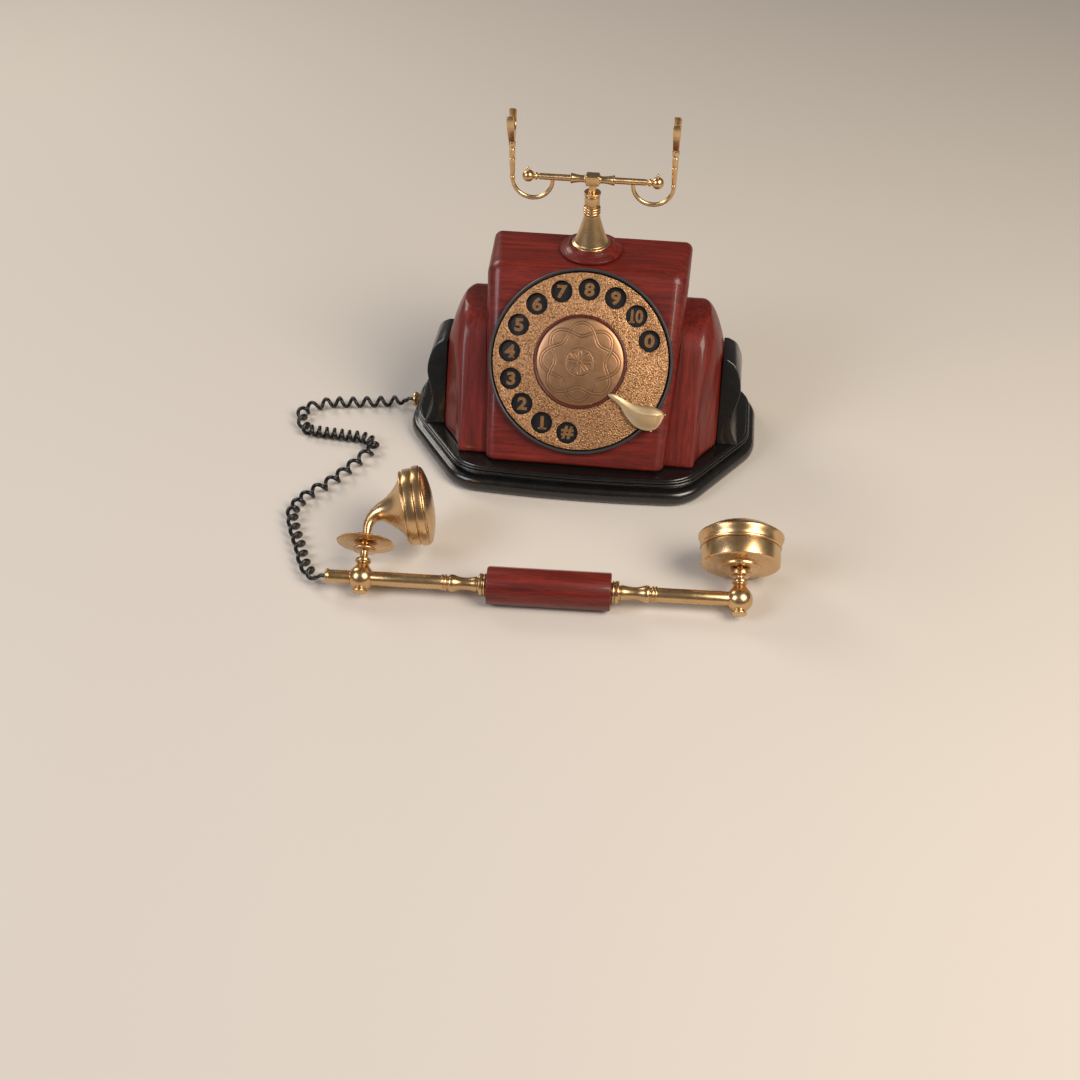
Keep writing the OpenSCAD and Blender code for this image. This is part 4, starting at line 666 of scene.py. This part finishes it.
# Satin bronze: brushed, rosy brown, and dark with age in its engraving
satin = finish("satin_bronze", Metallic=1.0, Roughness=0.42)
brushed = vary(satin, 260, 5, gloss=(0.38, 0.46), relief=0.004)
rosy = add(satin, "ShaderNodeValToRGB", {"Fac": brushed}, ((0.3, "#ab8260"), (0.7, "#b68c69")))
engraving = add(satin, "ShaderNodeAttribute", attribute_name="engraving")
aged = add(satin, "ShaderNodeMix", {"B": linear("#4a2c1c")}, data_type="RGBA")
satin.node_tree.links.new(engraving.outputs["Fac"], aged.inputs["Factor"])
satin.node_tree.links.new(rosy.outputs["Color"], aged.inputs[6])
feed(satin, "Base Color", aged.outputs[2])
dome = [(0, wheel_high), (cap_r, wheel_high)] + arc(0, cap_low, cap_r, cap_rise, range(0, 16, 5))
dome += [(r * 0.2, cap_low + cap_rise * math.sqrt(1 - (r * 0.2 / cap_r) ** 2)) for r in range(126, -1, -1)]
cap = turn("engraved_cap", dome, satin, None, 320, corner=50, ease=0.0)
patina = cap.data.attributes.new("engraving", "FLOAT", "POINT")
for vertex in cap.data.vertices:
    spot = vertex.co
    r = spot.xy.length / MM
    if spot.z > 5.6 * MM and r < engraved_r:
        cut = engraved(r, math.atan2(spot.y, spot.x))
        patina.data[vertex.index].value = 0.9 * cut / cut_depth
        spot.z -= cut * MM
settle(cap, to_dial)
stands(cap, "dial", "bronze", "centre_disc")

# ---- Finger stop ----
# A leaf cast in brass and gold plated: a fine tip by the cap, a blade that is raised along a
# crease, a small thorn, and two buds by the rim. A post holds it above the wheel.
leaf_z, leaf_thick, crease_h, upper_steps, lower_steps = 7.2, 0.9, 0.2, 6, 10
to_leaf = to_dial @ moved(0, 0, leaf_z)
leaf_folds = [((18.5, -17.6), (18.6, -18.2), (18.6, -19.1)), ((21.3, -17.6), (21.4, -19.0), (21.1, -20.6)),
              ((25.7, -19.2), (25.6, -21.4), (24.3, -22.7)), ((29.3, -20.9), (29.4, -24.0), (27.1, -25.7)),
              ((33.3, -22.3), (33.4, -26.2), (29.5, -29.6)), ((37.6, -23.0), (37.8, -27.6), (32.4, -32.8)),
              ((41.9, -23.1), (42.0, -28.4), (36.0, -35.8)), ((45.3, -23.3), (45.5, -28.5), (40.5, -37.6)),
              ((48.8, -24.3), (48.9, -28.3), (45.6, -37.8)), ((51.2, -25.6), (51.4, -28.0), (49.7, -35.4)),
              ((52.8, -27.3), (52.9, -27.7), (52.7, -29.2))]
# Gold plate on brass: pale, satin and evenly bright
pale_gold = polished("pale_gold_plate", "#f0cd98", "#f8deb4", 0.36, 0.42)
begin("leaf_stop")
for fold in zip(*(flowing(*line, count=3) for line in zip(*leaf_folds))):
    upper, crease, lower = (Vector((*p, 0)) for p in fold)
    width = (lower - upper).length
    section = []
    for t in (k / upper_steps for k in range(upper_steps + 1)):
        lift = leaf_thick + width * crease_h * t ** 0.7
        section.append(upper.lerp(crease, t) + Vector((0, 0, lift)))
    for t in (k / lower_steps for k in range(1, lower_steps + 1)):
        lift = leaf_thick + width * crease_h * (1 - 0.8 * math.sin(math.pi * t / 2))
        section.append(crease.lerp(lower, t) + Vector((0, 0, lift)))
    down = Vector((0, 0, min(leaf_thick, 0.2 + 0.1 * width)))
    draw(section + [p - down for p in reversed(section)] + section[:1])
join_outlines()
leaf = complete(pale_gold, to_leaf, corner=50)
leaf_parts = [leaf]
bud_r, bud_z = 0.6, 8.1
for x, y in ((53.4, -27.9), (45.7, -38.2)):
    bud = [(0, -1), (0.5, -0.87), (0.87, -0.5), (1, 0), (0.87, 0.5), (0.5, 0.87), (0, 1)]
    leaf_parts.append(turn("leaf_bud", [(bud_r * a, bud_r * b) for a, b in bud], brass,
                           to_dial @ moved(x, y, bud_z), 16))
leaf_parts.append(turn("leaf_thorn", [(0, 7.2), (2.9, 7.2), (2.7, 7.9), (0, 7.9)], pale_gold,
                       to_dial @ moved(44.4, -24.0, 0) @ tilted(85, "Z"), 3))
leaf_parts.append(turn("leaf_post", [(0, 0.2), (1.6, 0.2), (1.6, 8.2), (0, 8.2)], brass,
                       to_dial @ moved(48.8, -31.7, 0), 24))
leaf = join("leaf_stop", leaf_parts)
stands(leaf, "base", "polished_brass", "finger_stop")

# ---- Dial works ----
# Brass plates and wheel, steel shaft and spring, and the governor behind the dial. Their
# contacts are on a block of vulcanised fibre.

# Rolled brass: matt and slightly uneven
rolled = polished("rolled_brass", "#c39a52", "#d2ab63", 0.26, 0.4)
# Vulcanised fibre: pressed paper, brown and dull, in layers
fibre = finish("vulcanised_fibre", Base_Color=linear("#5b3a26"), Roughness=0.6)
vary(fibre, 1, 4, tones=((0.3, "#4a2e1d"), (0.7, "#6c4830")), relief=0.04, stretch=(200, 200, 1500))
dress(rolled, "works_frame", "main_gear", "governor_weights")
dress(zinc, "dial_shaft", "mainspring", "governor_spindle", "pulse_cam")
dress(fibre, "pulse_contacts")

# ---- Rosette ----
# A turned mahogany ring that seats the pedestal on top of the case: a half-round edge, a groove
# and a shallow cone.
pedestal_y, case_top = 21.5, 117
# Mahogany as on the case, turned, so that its grain runs straight through the ring
turned_wood = mahogany("mahogany_turned", (0.038, 0.0055, 0.0055), start=(0.1, 0, 0.2))
rosette_line = [(4.6, 0), (18.2, 0)] + flowing((18.6, 0.1), (19.0, 1.1), (18.6, 2.1), count=3)
rosette_line += [(17.2, 2.4), (17.0, 2.6)] + flowing((16.2, 2.8), (15.2, 3.3), (14.3, 4.0), count=3)
rosette_line += [(13.9, 4.2), (13.7, 4.9), (13.3, 5), (4.6, 5), (4.6, 0)]
rosette = turn("turned_rosette", rosette_line, turned_wood, moved(0, pedestal_y, case_top), 96)
stands(rosette, "base", "red_wood", "rosette")

# ---- Pedestal ----
# A brass cone, turned, with a lipped foot, three thin rings, a barrel-shaped knop and a disc. The
# plunger of the hook slides through it.
pedestal_line = [(2.3, 104), (4.5, 104), (4.5, 122), (11.7, 122), (11.7, 122.8), (11.2, 123.2), (10.6, 123.4)]
pedestal_line += flowing((10.1, 123.7), (8.5, 128.2), (7.0, 132.8), (5.65, 137.4), (4.5, 141.6), count=4)
for ring_z in (142.83, 144.5, 146.17):
    pedestal_line += arc(4.55, ring_z, 0.6, 0.78, range(-80, 81, 20))
pedestal_line += [(4.0, 147.1), (4.0, 147.8)]
pedestal_line += flowing((4.35, 147.9), (4.58, 148.6), (4.62, 151.3), (4.58, 153.2), (4.3, 154.3), count=3)
pedestal_line += [(3.9, 154.7), (4.9, 154.8), (5.1, 155.1), (5.1, 156.1), (4.9, 156.4), (2.3, 156.4),
                  (2.3, 104)]
pedestal = turn("turned_pedestal", pedestal_line, brass, moved(0, pedestal_y, 0), 96)
stands(pedestal, "base", "polished_brass", "pedestal")

# ---- Hook switch ----
# The plunger, its spring, lever and bracket under the top of the case, and the contacts it works.
dress(brass, "hook_plunger")
dress(rolled, "hook_lever")
dress(zinc, "hook_bracket", "hook_spring")
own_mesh(bpy.data.objects["hook_spring"])
dress(fibre, "hook_contacts")

# ---- Cradle bar ----
# A brass block with a flared ferrule and a thin rod on each side, beaded near its end, and a
# ball with a small knob where the rod stops.
bar_z, cross_wide, cross_tall, ball_r, ball_x = 164.5, 8, 6.4, 3.6, 38.3
to_bar = moved(0, pedestal_y, bar_z)
bar_line = [(0, 3.7), (2.8, 3.7), (2.8, 4.3), (2.2, 4.6)]
bar_line += flowing((2.1, 5.2), (2.15, 7.5), (2.5, 10), (2.85, 11.8), count=3)
bar_line += [(3.0, 12.2), (3.0, 13), (1.9, 13.1), (1.9, 31.7), (1.4, 31.9), (1.4, 32.7)]
bar_line += flowing((2.0, 32.9), (2.3, 33.6), (2.0, 34.3), count=3) + [(1.4, 34.5), (1.4, 35.9), (0, 35.9)]
ball_line = arc(0, 0, ball_r, ball_r, range(-90, 71, 10)) + [(0.7, 3.5), (0.7, 4.0)]
ball_line += arc(0, 4.7, 0.95, 0.95, range(-45, 91, 15))
bpy.ops.object.select_all(action="DESELECT")
bpy.ops.mesh.primitive_cube_add(size=MM)
bpy.ops.object.mode_set(mode="EDIT")
bpy.ops.transform.resize(value=(cross_wide, cross_tall, cross_tall))
bar_parts = [complete(brass, to_bar, ease=0.7, steps=3)]
for side in (-1, 1):
    bar_parts.append(turn("bar_rod", bar_line, brass, to_bar @ tilted(side * 90, "Y"), 48))
    bar_parts.append(turn("bar_ball", ball_line, brass, to_bar @ moved(side * ball_x, 0, 0), 40))
bar = join("cradle_rods", bar_parts)
stands(bar, "cradle", "polished_brass", "cradle_bar")

# ---- Scroll brackets ----
# A rod bent to a half circle under each end of the bar, brazed to the bar and to the fork's foot.
fork_x, scroll_z, scroll_r, scroll_thick, scroll_swell = 47.8, 162.3, 11.95, 1.22, 0.1
half_circle = arc(fork_x - scroll_r, scroll_z, scroll_r, scroll_r, range(180, 361, 6))
scroll_parts = []
for side in (-1, 1):
    bend = [Vector((side * (fork_x - 2 * scroll_r), pedestal_y, bar_z))]
    bend += [Vector((side * x, pedestal_y, z)) for x, z in half_circle]
    thick = [scroll_thick + scroll_swell * math.sin(math.pi * i / (len(bend) - 1))
             for i in range(len(bend))]
    scroll_parts.append(rod("scroll_rod", [p * MM for p in bend], [r * MM for r in thick], 16, brass))
scrolls = join("scroll_rods", scroll_parts)
stands(scrolls, "cradle", "polished_brass", "scrolls")

# ---- Forks ----
# A cast brass fork at each end: a turned stem with beads, and two flat prongs that widen to
# their tips, with a round notch between them for the handset.
stem_h, tine_h, notch_z, notch_r, tine_t = 22.7, 18.6, 13.4, 4.8, 1.7
stem_line = [(0, -0.6), (1.2, -0.6), (1.5, -0.2), (1.55, 0.5), (1.5, 1.4), (1.2, 1.8), (1.2, 2.3)]
stem_line += flowing((1.4, 2.6), (1.5, 6), (1.65, 11), (1.65, 12.6), count=4)
stem_line += [(1.3, 12.8), (1.3, 13.1), (1.75, 13.3), (1.8, 16), (1.75, 18.9), (1.4, 19.2), (1.4, 20.2)]
stem_line += flowing((1.9, 20.4), (2.12, 21.2), (2.12, 22.8), (1.9, 23.6), count=3) + [(1.6, 24.3), (0, 24.3)]
outer_r = notch_r + tine_t
outer_line = flowing((1.7, 1.0), (3.2, 0.2 * tine_h), (5.1, 0.43 * tine_h), (6.2, 0.6 * tine_h),
                     (6.5, 0.76 * tine_h), count=3)
outer_line += [(outer_r, tine_h - 0.9), (outer_r - 0.3, tine_h - 0.25), (outer_r - 0.8, tine_h)]
prong = outer_line + [(notch_r + 0.2, tine_h)]
prong += arc(0, notch_z, notch_r, notch_r, range(0, -181, -10))
prong += [(-notch_r - 0.2, tine_h)] + [(-y, z) for y, z in reversed(outer_line)] + [(1.7, 1.0)]
fork_parts = []
for side in (-1, 1):
    to_fork = moved(side * fork_x, pedestal_y, scroll_z)
    fork_parts.append(turn("fork_stem", stem_line, brass, to_fork, 40))
    begin("fork_prongs")
    for face in (-1, 1):
        draw([(face * (1.75 + 0.5 * (z / tine_h) ** 0.8), y, z) for y, z in prong])
    join_outlines()
    fork_parts.append(complete(brass, to_fork @ moved(0, 0, stem_h), ease=0.45, steps=3))
forks = join("cast_forks", fork_parts)
stands(forks, "cradle", "polished_brass", "forks")

# ---- Ringer and speech circuit ----
# Two nickelled gongs and their clapper on a steel frame with two coils, and the induction coil,
# the capacitor and the terminals, all on the bottom plate.

# Nickel plate: buffed, warm white with a slight haze
nickel = finish("nickel_plate", Base_Color=linear("#c9c4ba"), Metallic=1.0, Roughness=0.2)
vary(nickel, 90, 5, gloss=(0.14, 0.3))
# Enamelled copper wire: wound in layers, reddish, with its turns drawn as coarse as 1 mm
winding = finish("wound_copper_wire", Base_Color=linear("#a4582c"), Metallic=1.0, Roughness=0.35)
layer = add(winding, "ShaderNodeTexWave", {
    "Vector": place(winding), "Scale": 320.0, "Distortion": 1.5}).outputs["Fac"]
feed(winding, "Base Color", add(winding, "ShaderNodeValToRGB", {"Fac": layer}, (
    (0.0, "#6f3418"), (0.6, "#b9683a"))).outputs["Color"])
feed(winding, "Normal", add(winding, "ShaderNodeBump", {
    "Height": layer, "Distance": 0.2 * MM}).outputs["Normal"])
# Waxed paper: rolled and dipped, pale brown and dull, with specks 2.5 mm apart
paper_can = finish("waxed_paper", Base_Color=linear("#9a8f78"), Roughness=0.5)
vary(paper_can, 400, 4, tones=((0.3, "#85785f"), (0.7, "#a89b80")))
dress(nickel, "gong_left", "gong_right")
dress(zinc, "ringer_frame")
dress(rolled, "clapper")
dress(winding, "ringer_coils", "induction_coil")
dress(paper_can, "capacitor")
dress(fibre, "terminal_block")

# ---- Handset grip ----
# A ten-sided mahogany handle, chamfered at both ends, bored for the tubes that hold it.
to_handset = (moved(*handset_place) @ Matrix.Rotation(handset_turn, 4, "Z")
              @ Matrix.Rotation(handset_tilt - math.pi / 2, 4, "X"))
along_tube = to_handset @ tilted(90, "Y")
tee_span, grip_start, grip_l = 213.8, 71.9, 70
# Mahogany as on the case, its grain along the handle
grip_wood = mahogany("mahogany_handle", (0.045, 0.003, 0.003), start=(0.2, 0, 0.1))
half_flat, first_corner = 10.5, 8.2
corner_r = half_flat / math.cos(math.radians(18))
begin("ten_sided_handle")
draw([(x, y, 0) for x, y in arc(0, 0, corner_r, corner_r, [first_corner + 36 * i for i in range(11)])])
weld()
bpy.ops.mesh.edge_face_add()
bpy.ops.mesh.extrude_region_move(TRANSFORM_OT_translate={"value": (0, 0, grip_l * MM)})
grip = complete(grip_wood, along_tube @ moved(0, 0, grip_start), ease=0.7, steps=3)
stands(grip, "handset", "red_wood", "grip")

# ---- Collars and tubes ----
# Turned brass collars screwed into the handle: a disc, a waisted baluster and two small rings.
# A brass tube goes on from each to the ball at the end.
tube_r, tube_start, tube_end = 4.05, 6, 46
collar_line = [(0, 0), (4.05, 0), (4.6, 0.2), (4.7, 0.7), (4.6, 1.2), (4.0, 1.4), (4.0, 1.8), (4.6, 2.0),
               (4.7, 2.5), (4.6, 3.0), (3.8, 3.2), (3.8, 4.0)]
collar_line += flowing((4.4, 4.3), (4.9, 5.3), (4.95, 6.2), (4.7, 7.4), (4.1, 9.2), (3.65, 11.2),
                       (3.55, 13.2), (3.8, 16.5), (4.3, 19.2), (4.35, 20.3), count=3)
collar_line += [(3.9, 20.6), (3.9, 21.4), (6.1, 21.5), (6.4, 21.9), (6.4, 23.5), (6.1, 23.8), (5.7, 23.9),
                (5.7, 24.2), (6.2, 24.3), (6.4, 24.6), (6.4, 25.0), (6.2, 25.2), (5.4, 25.3), (5.4, 26.2),
                (0, 26.2)]
tube_line = [(0, tube_start), (tube_r, tube_start), (tube_r, tube_end), (0, tube_end)]
other_end = along_tube @ moved(0, 0, tee_span) @ tilted(180, "X")
for name, start in (("mouth", along_tube), ("ear", other_end)):
    collar = turn(name + "_collar", collar_line, brass, start @ moved(0, 0, tube_end - 0.1), 72)
    stands(collar, "handset", "polished_brass", "collar_" + name)
    tube = turn(name + "_tube", tube_line, brass, start, 72)
    stands(tube, "handset", "polished_brass", "tube_" + name)

# ---- End balls ----
# A brass ball at each end of the tubes, with a bun finial under it and a beaded stalk above that
# carries the mouthpiece or the earpiece.
tee_r = 7.4
for name, x, disc_r, disc_low, disc_high, top in (("mouth", 0, 7, 16.2, 17.6, 19.6),
                                                  ("ear", tee_span, 5.9, 13.7, 16.6, 17.8)):
    stalk = [(0, -9.4), (3.0, -9.4), (3.8, -9.2), (4.4, -8.6), (4.4, -8.1), (4.0, -7.5), (3.7, -7.2),
             (3.65, -6.5)] + arc(0, 0, tee_r, tee_r, range(-60, 49, 6))
    stalk += flowing((4.6, 5.9), (3.8, 7.1), (3.4, 8.2), (3.3, 9.0), count=3)
    stalk += [(4.2, 9.2), (4.5, 9.6), (4.5, 10.9), (4.2, 11.3), (2.7, 11.5), (2.4, 12),
              (2.35, disc_low - 0.6), (2.7, disc_low - 0.1)]
    stalk += [(disc_r - 0.4, disc_low), (disc_r, disc_low + 0.4), (disc_r, disc_high - 0.4),
              (disc_r - 0.4, disc_high), (3.2, disc_high + 0.4), (2.9, top), (0, top)]
    tee = turn(name + "_ball", stalk, brass, to_handset @ moved(x, 0, 0), 80)
    stands(tee, "handset", "polished_brass", "tee_" + name)
ferrule = turn("cord_ferrule_sleeve", [
    (0, 0), (3.2, 0), (4.0, 0.2), (4.4, 0.8), (4.4, 1.5), (4.0, 2.0), (3.8, 2.3), (3.8, 14.4), (0, 14.4)],
    brass, along_tube @ moved(0, 0, -ferrule_reach), 56)
stands(ferrule, "handset", "polished_brass", "cord_ferrule")

# ---- Mouthpiece ----
# A spun brass saucer on the stalk, a horn that bends and flares from it, and the bell: a lipped
# back, a wide band between two grooves, and a domed cap over the transmitter.
saucer = turn("spun_saucer", [(0, 19.5), (5, 19.5)] + flowing((9, 19.6), (13, 20.0), (15.8, 20.5), count=4)
              + [(16.4, 20.7), (16.7, 21.1), (16.4, 21.3), (15.6, 21.1)]
              + flowing((13, 20.7), (9, 20.4), (5, 20.6), count=4) + [(4.4, 21.2), (3.4, 21.6), (0, 21.7)],
              brass, to_handset, 96)
stands(saucer, "handset", "polished_brass", "saucer")

bell_tilt = math.radians(13)
to_bell = (to_handset @ moved(19.83, 0, 43.73)
           @ Matrix.Rotation(math.pi / 2 - bell_tilt, 4, "Y"))
horn_bend_r, horn_bend_z = 11.5, 30
horn_path = [Vector((0, 0, 21.3 + 0.87 * i)) for i in range(10)]
horn_path += [Vector((x, 0, z)) for x, z in arc(horn_bend_r, horn_bend_z, -horn_bend_r, horn_bend_r,
                                                [5.5 * i for i in range(1, 15)])]
bend_end, onward = horn_path[-1], Vector((math.cos(bell_tilt), 0, math.sin(bell_tilt)))
horn_path += [bend_end + onward * 1.12 * i for i in range(1, 11)]
horn_share = [i / (len(horn_path) - 1) for i in range(len(horn_path))]
horn_radius = [2.1 + 0.9 * math.exp(-f / 0.03) + 2.6 * f ** 1.5 + 13.3 * f ** 4 for f in horn_share]
horn = rod("mouth_horn_flare", [to_handset @ (p * MM) for p in horn_path], [r * MM for r in horn_radius],
           48, brass)
stands(horn, "handset", "polished_brass", "mouth_horn")
bell = turn("mouth_bell_rim", [
    (0, 0), (21.2, 0), (21.6, 0.3), (21.6, 0.9), (21.2, 1.2), (20.8, 1.3), (20.8, 2.1), (22.1, 2.2),
    (22.4, 2.5), (22.5, 4.6), (22.4, 6.6), (22.1, 6.9), (21.4, 7.0), (21.4, 7.5), (22.9, 7.6), (23.3, 8.0),
    (23.4, 9.8), (23.3, 11.5), (22.9, 11.9), (0, 11.9)], brass, to_bell, 112)
stands(bell, "handset", "polished_brass", "mouth_bell")
mouth_cap = turn("mouth_cap_dome", [(0, 12), (22.5, 12), (22.5, 12.5)]
                 + flowing((22.2, 13.0), (20.6, 14.1), (15.6, 15.7), (9.6, 16.9), (4, 17.4), (0, 17.5),
                           count=4),
                 brass, to_bell, 112)
stands(mouth_cap, "handset", "polished_brass", "mouth_cap")

# ---- Earpiece ----
# A spun brass cup on the other stalk: a shallow cone, a drum, and a domed cap that flares to the
# widest ring, with a ring of six holes and one more in the middle.
to_ear = to_handset @ moved(tee_span, 0, 0)
ear_cup = turn("ear_cup_drum", [(0, 17.6), (11.7, 17.6), (12.2, 18.0), (12.2, 19.0), (12.6, 19.2)]
               + flowing((14, 19.3), (17.5, 19.45), (20.6, 19.6), count=3)
               + [(21.8, 19.8), (22.4, 20.4), (22.4, 29.4), (21.9, 29.8), (21.9, 30), (0, 30)],
               brass, to_ear, 112)
stands(ear_cup, "handset", "polished_brass", "ear_cup")
ear_cap = turn("ear_cap_dome", [(0, 30.1), (22.2, 30.1), (22.9, 30.4), (23.1, 31.1), (22.9, 31.8)]
               + flowing((23.0, 32.1), (23.3, 33.4), (24.0, 35.3), (24.4, 36.5), count=3)
               + [(24.4, 37.3), (23.9, 37.9), (23.3, 38.1)]
               + flowing((22.8, 38.3), (21.2, 39.7), (16.1, 42.6), (10.2, 44.8), (4.4, 45.8), (0, 46),
                         count=4),
               brass, to_ear, 112)
drill = []
for x, y in [(0, 0)] + arc(0, 0, 4.5, 4.5, range(0, 360, 60)):
    drill.append(turn("sound_hole", [(0, 43), (1.1, 43), (1.1, 48), (0, 48)], lacquer,
                      to_ear @ moved(x, y, 0), 20))
drill = join("sound_holes", drill)
drilled = ear_cap.modifiers.new("sound_holes", "BOOLEAN")
drilled.operation, drilled.object = "DIFFERENCE", drill
bpy.context.view_layer.objects.active = ear_cap
bpy.ops.object.modifier_apply(modifier=drilled.name)
bpy.data.objects.remove(drill, do_unlink=True)
stands(ear_cap, "handset", "polished_brass", "ear_cap")
dress(nickel, "transmitter", "receiver")

# ---- Light and floor ----
# A pale floor, a large soft lamp from the upper right and weaker ones from the left and behind.
world = bpy.data.worlds.new("studio")
bpy.context.scene.world = world
world.use_nodes = True
world.node_tree.nodes["Background"].inputs["Color"].default_value = linear("#cfcac4")
world.node_tree.nodes["Background"].inputs["Strength"].default_value = 0.22
for spot, size, power, colour in (
        ((0.75, -0.55, 0.95), 0.7, 16.0, "#fff3e4"),
        ((-0.85, -0.65, 0.8), 0.6, 7.0, "#f3f4ff"),
        ((-0.8, 0.6, 0.75), 0.5, 5.0, "#fff8ee")):
    bpy.ops.object.light_add(type="AREA", location=spot)
    lamp = bpy.context.object
    lamp.data.size = size
    lamp.data.energy = power
    lamp.data.color = linear(colour)[:3]
    lamp.rotation_euler = (Vector((0, -0.05, 0.05)) - lamp.location).to_track_quat("-Z", "Y").to_euler()
bpy.ops.mesh.primitive_plane_add(size=6)
floor = bpy.context.object
floor.name = "floor"
# Matt paper: pressed, plain and pale, so that it only takes the shadow
paper = finish("matt_paper", Base_Color=linear("#cdc6bd"), Roughness=0.8)
floor.data.materials.append(paper)
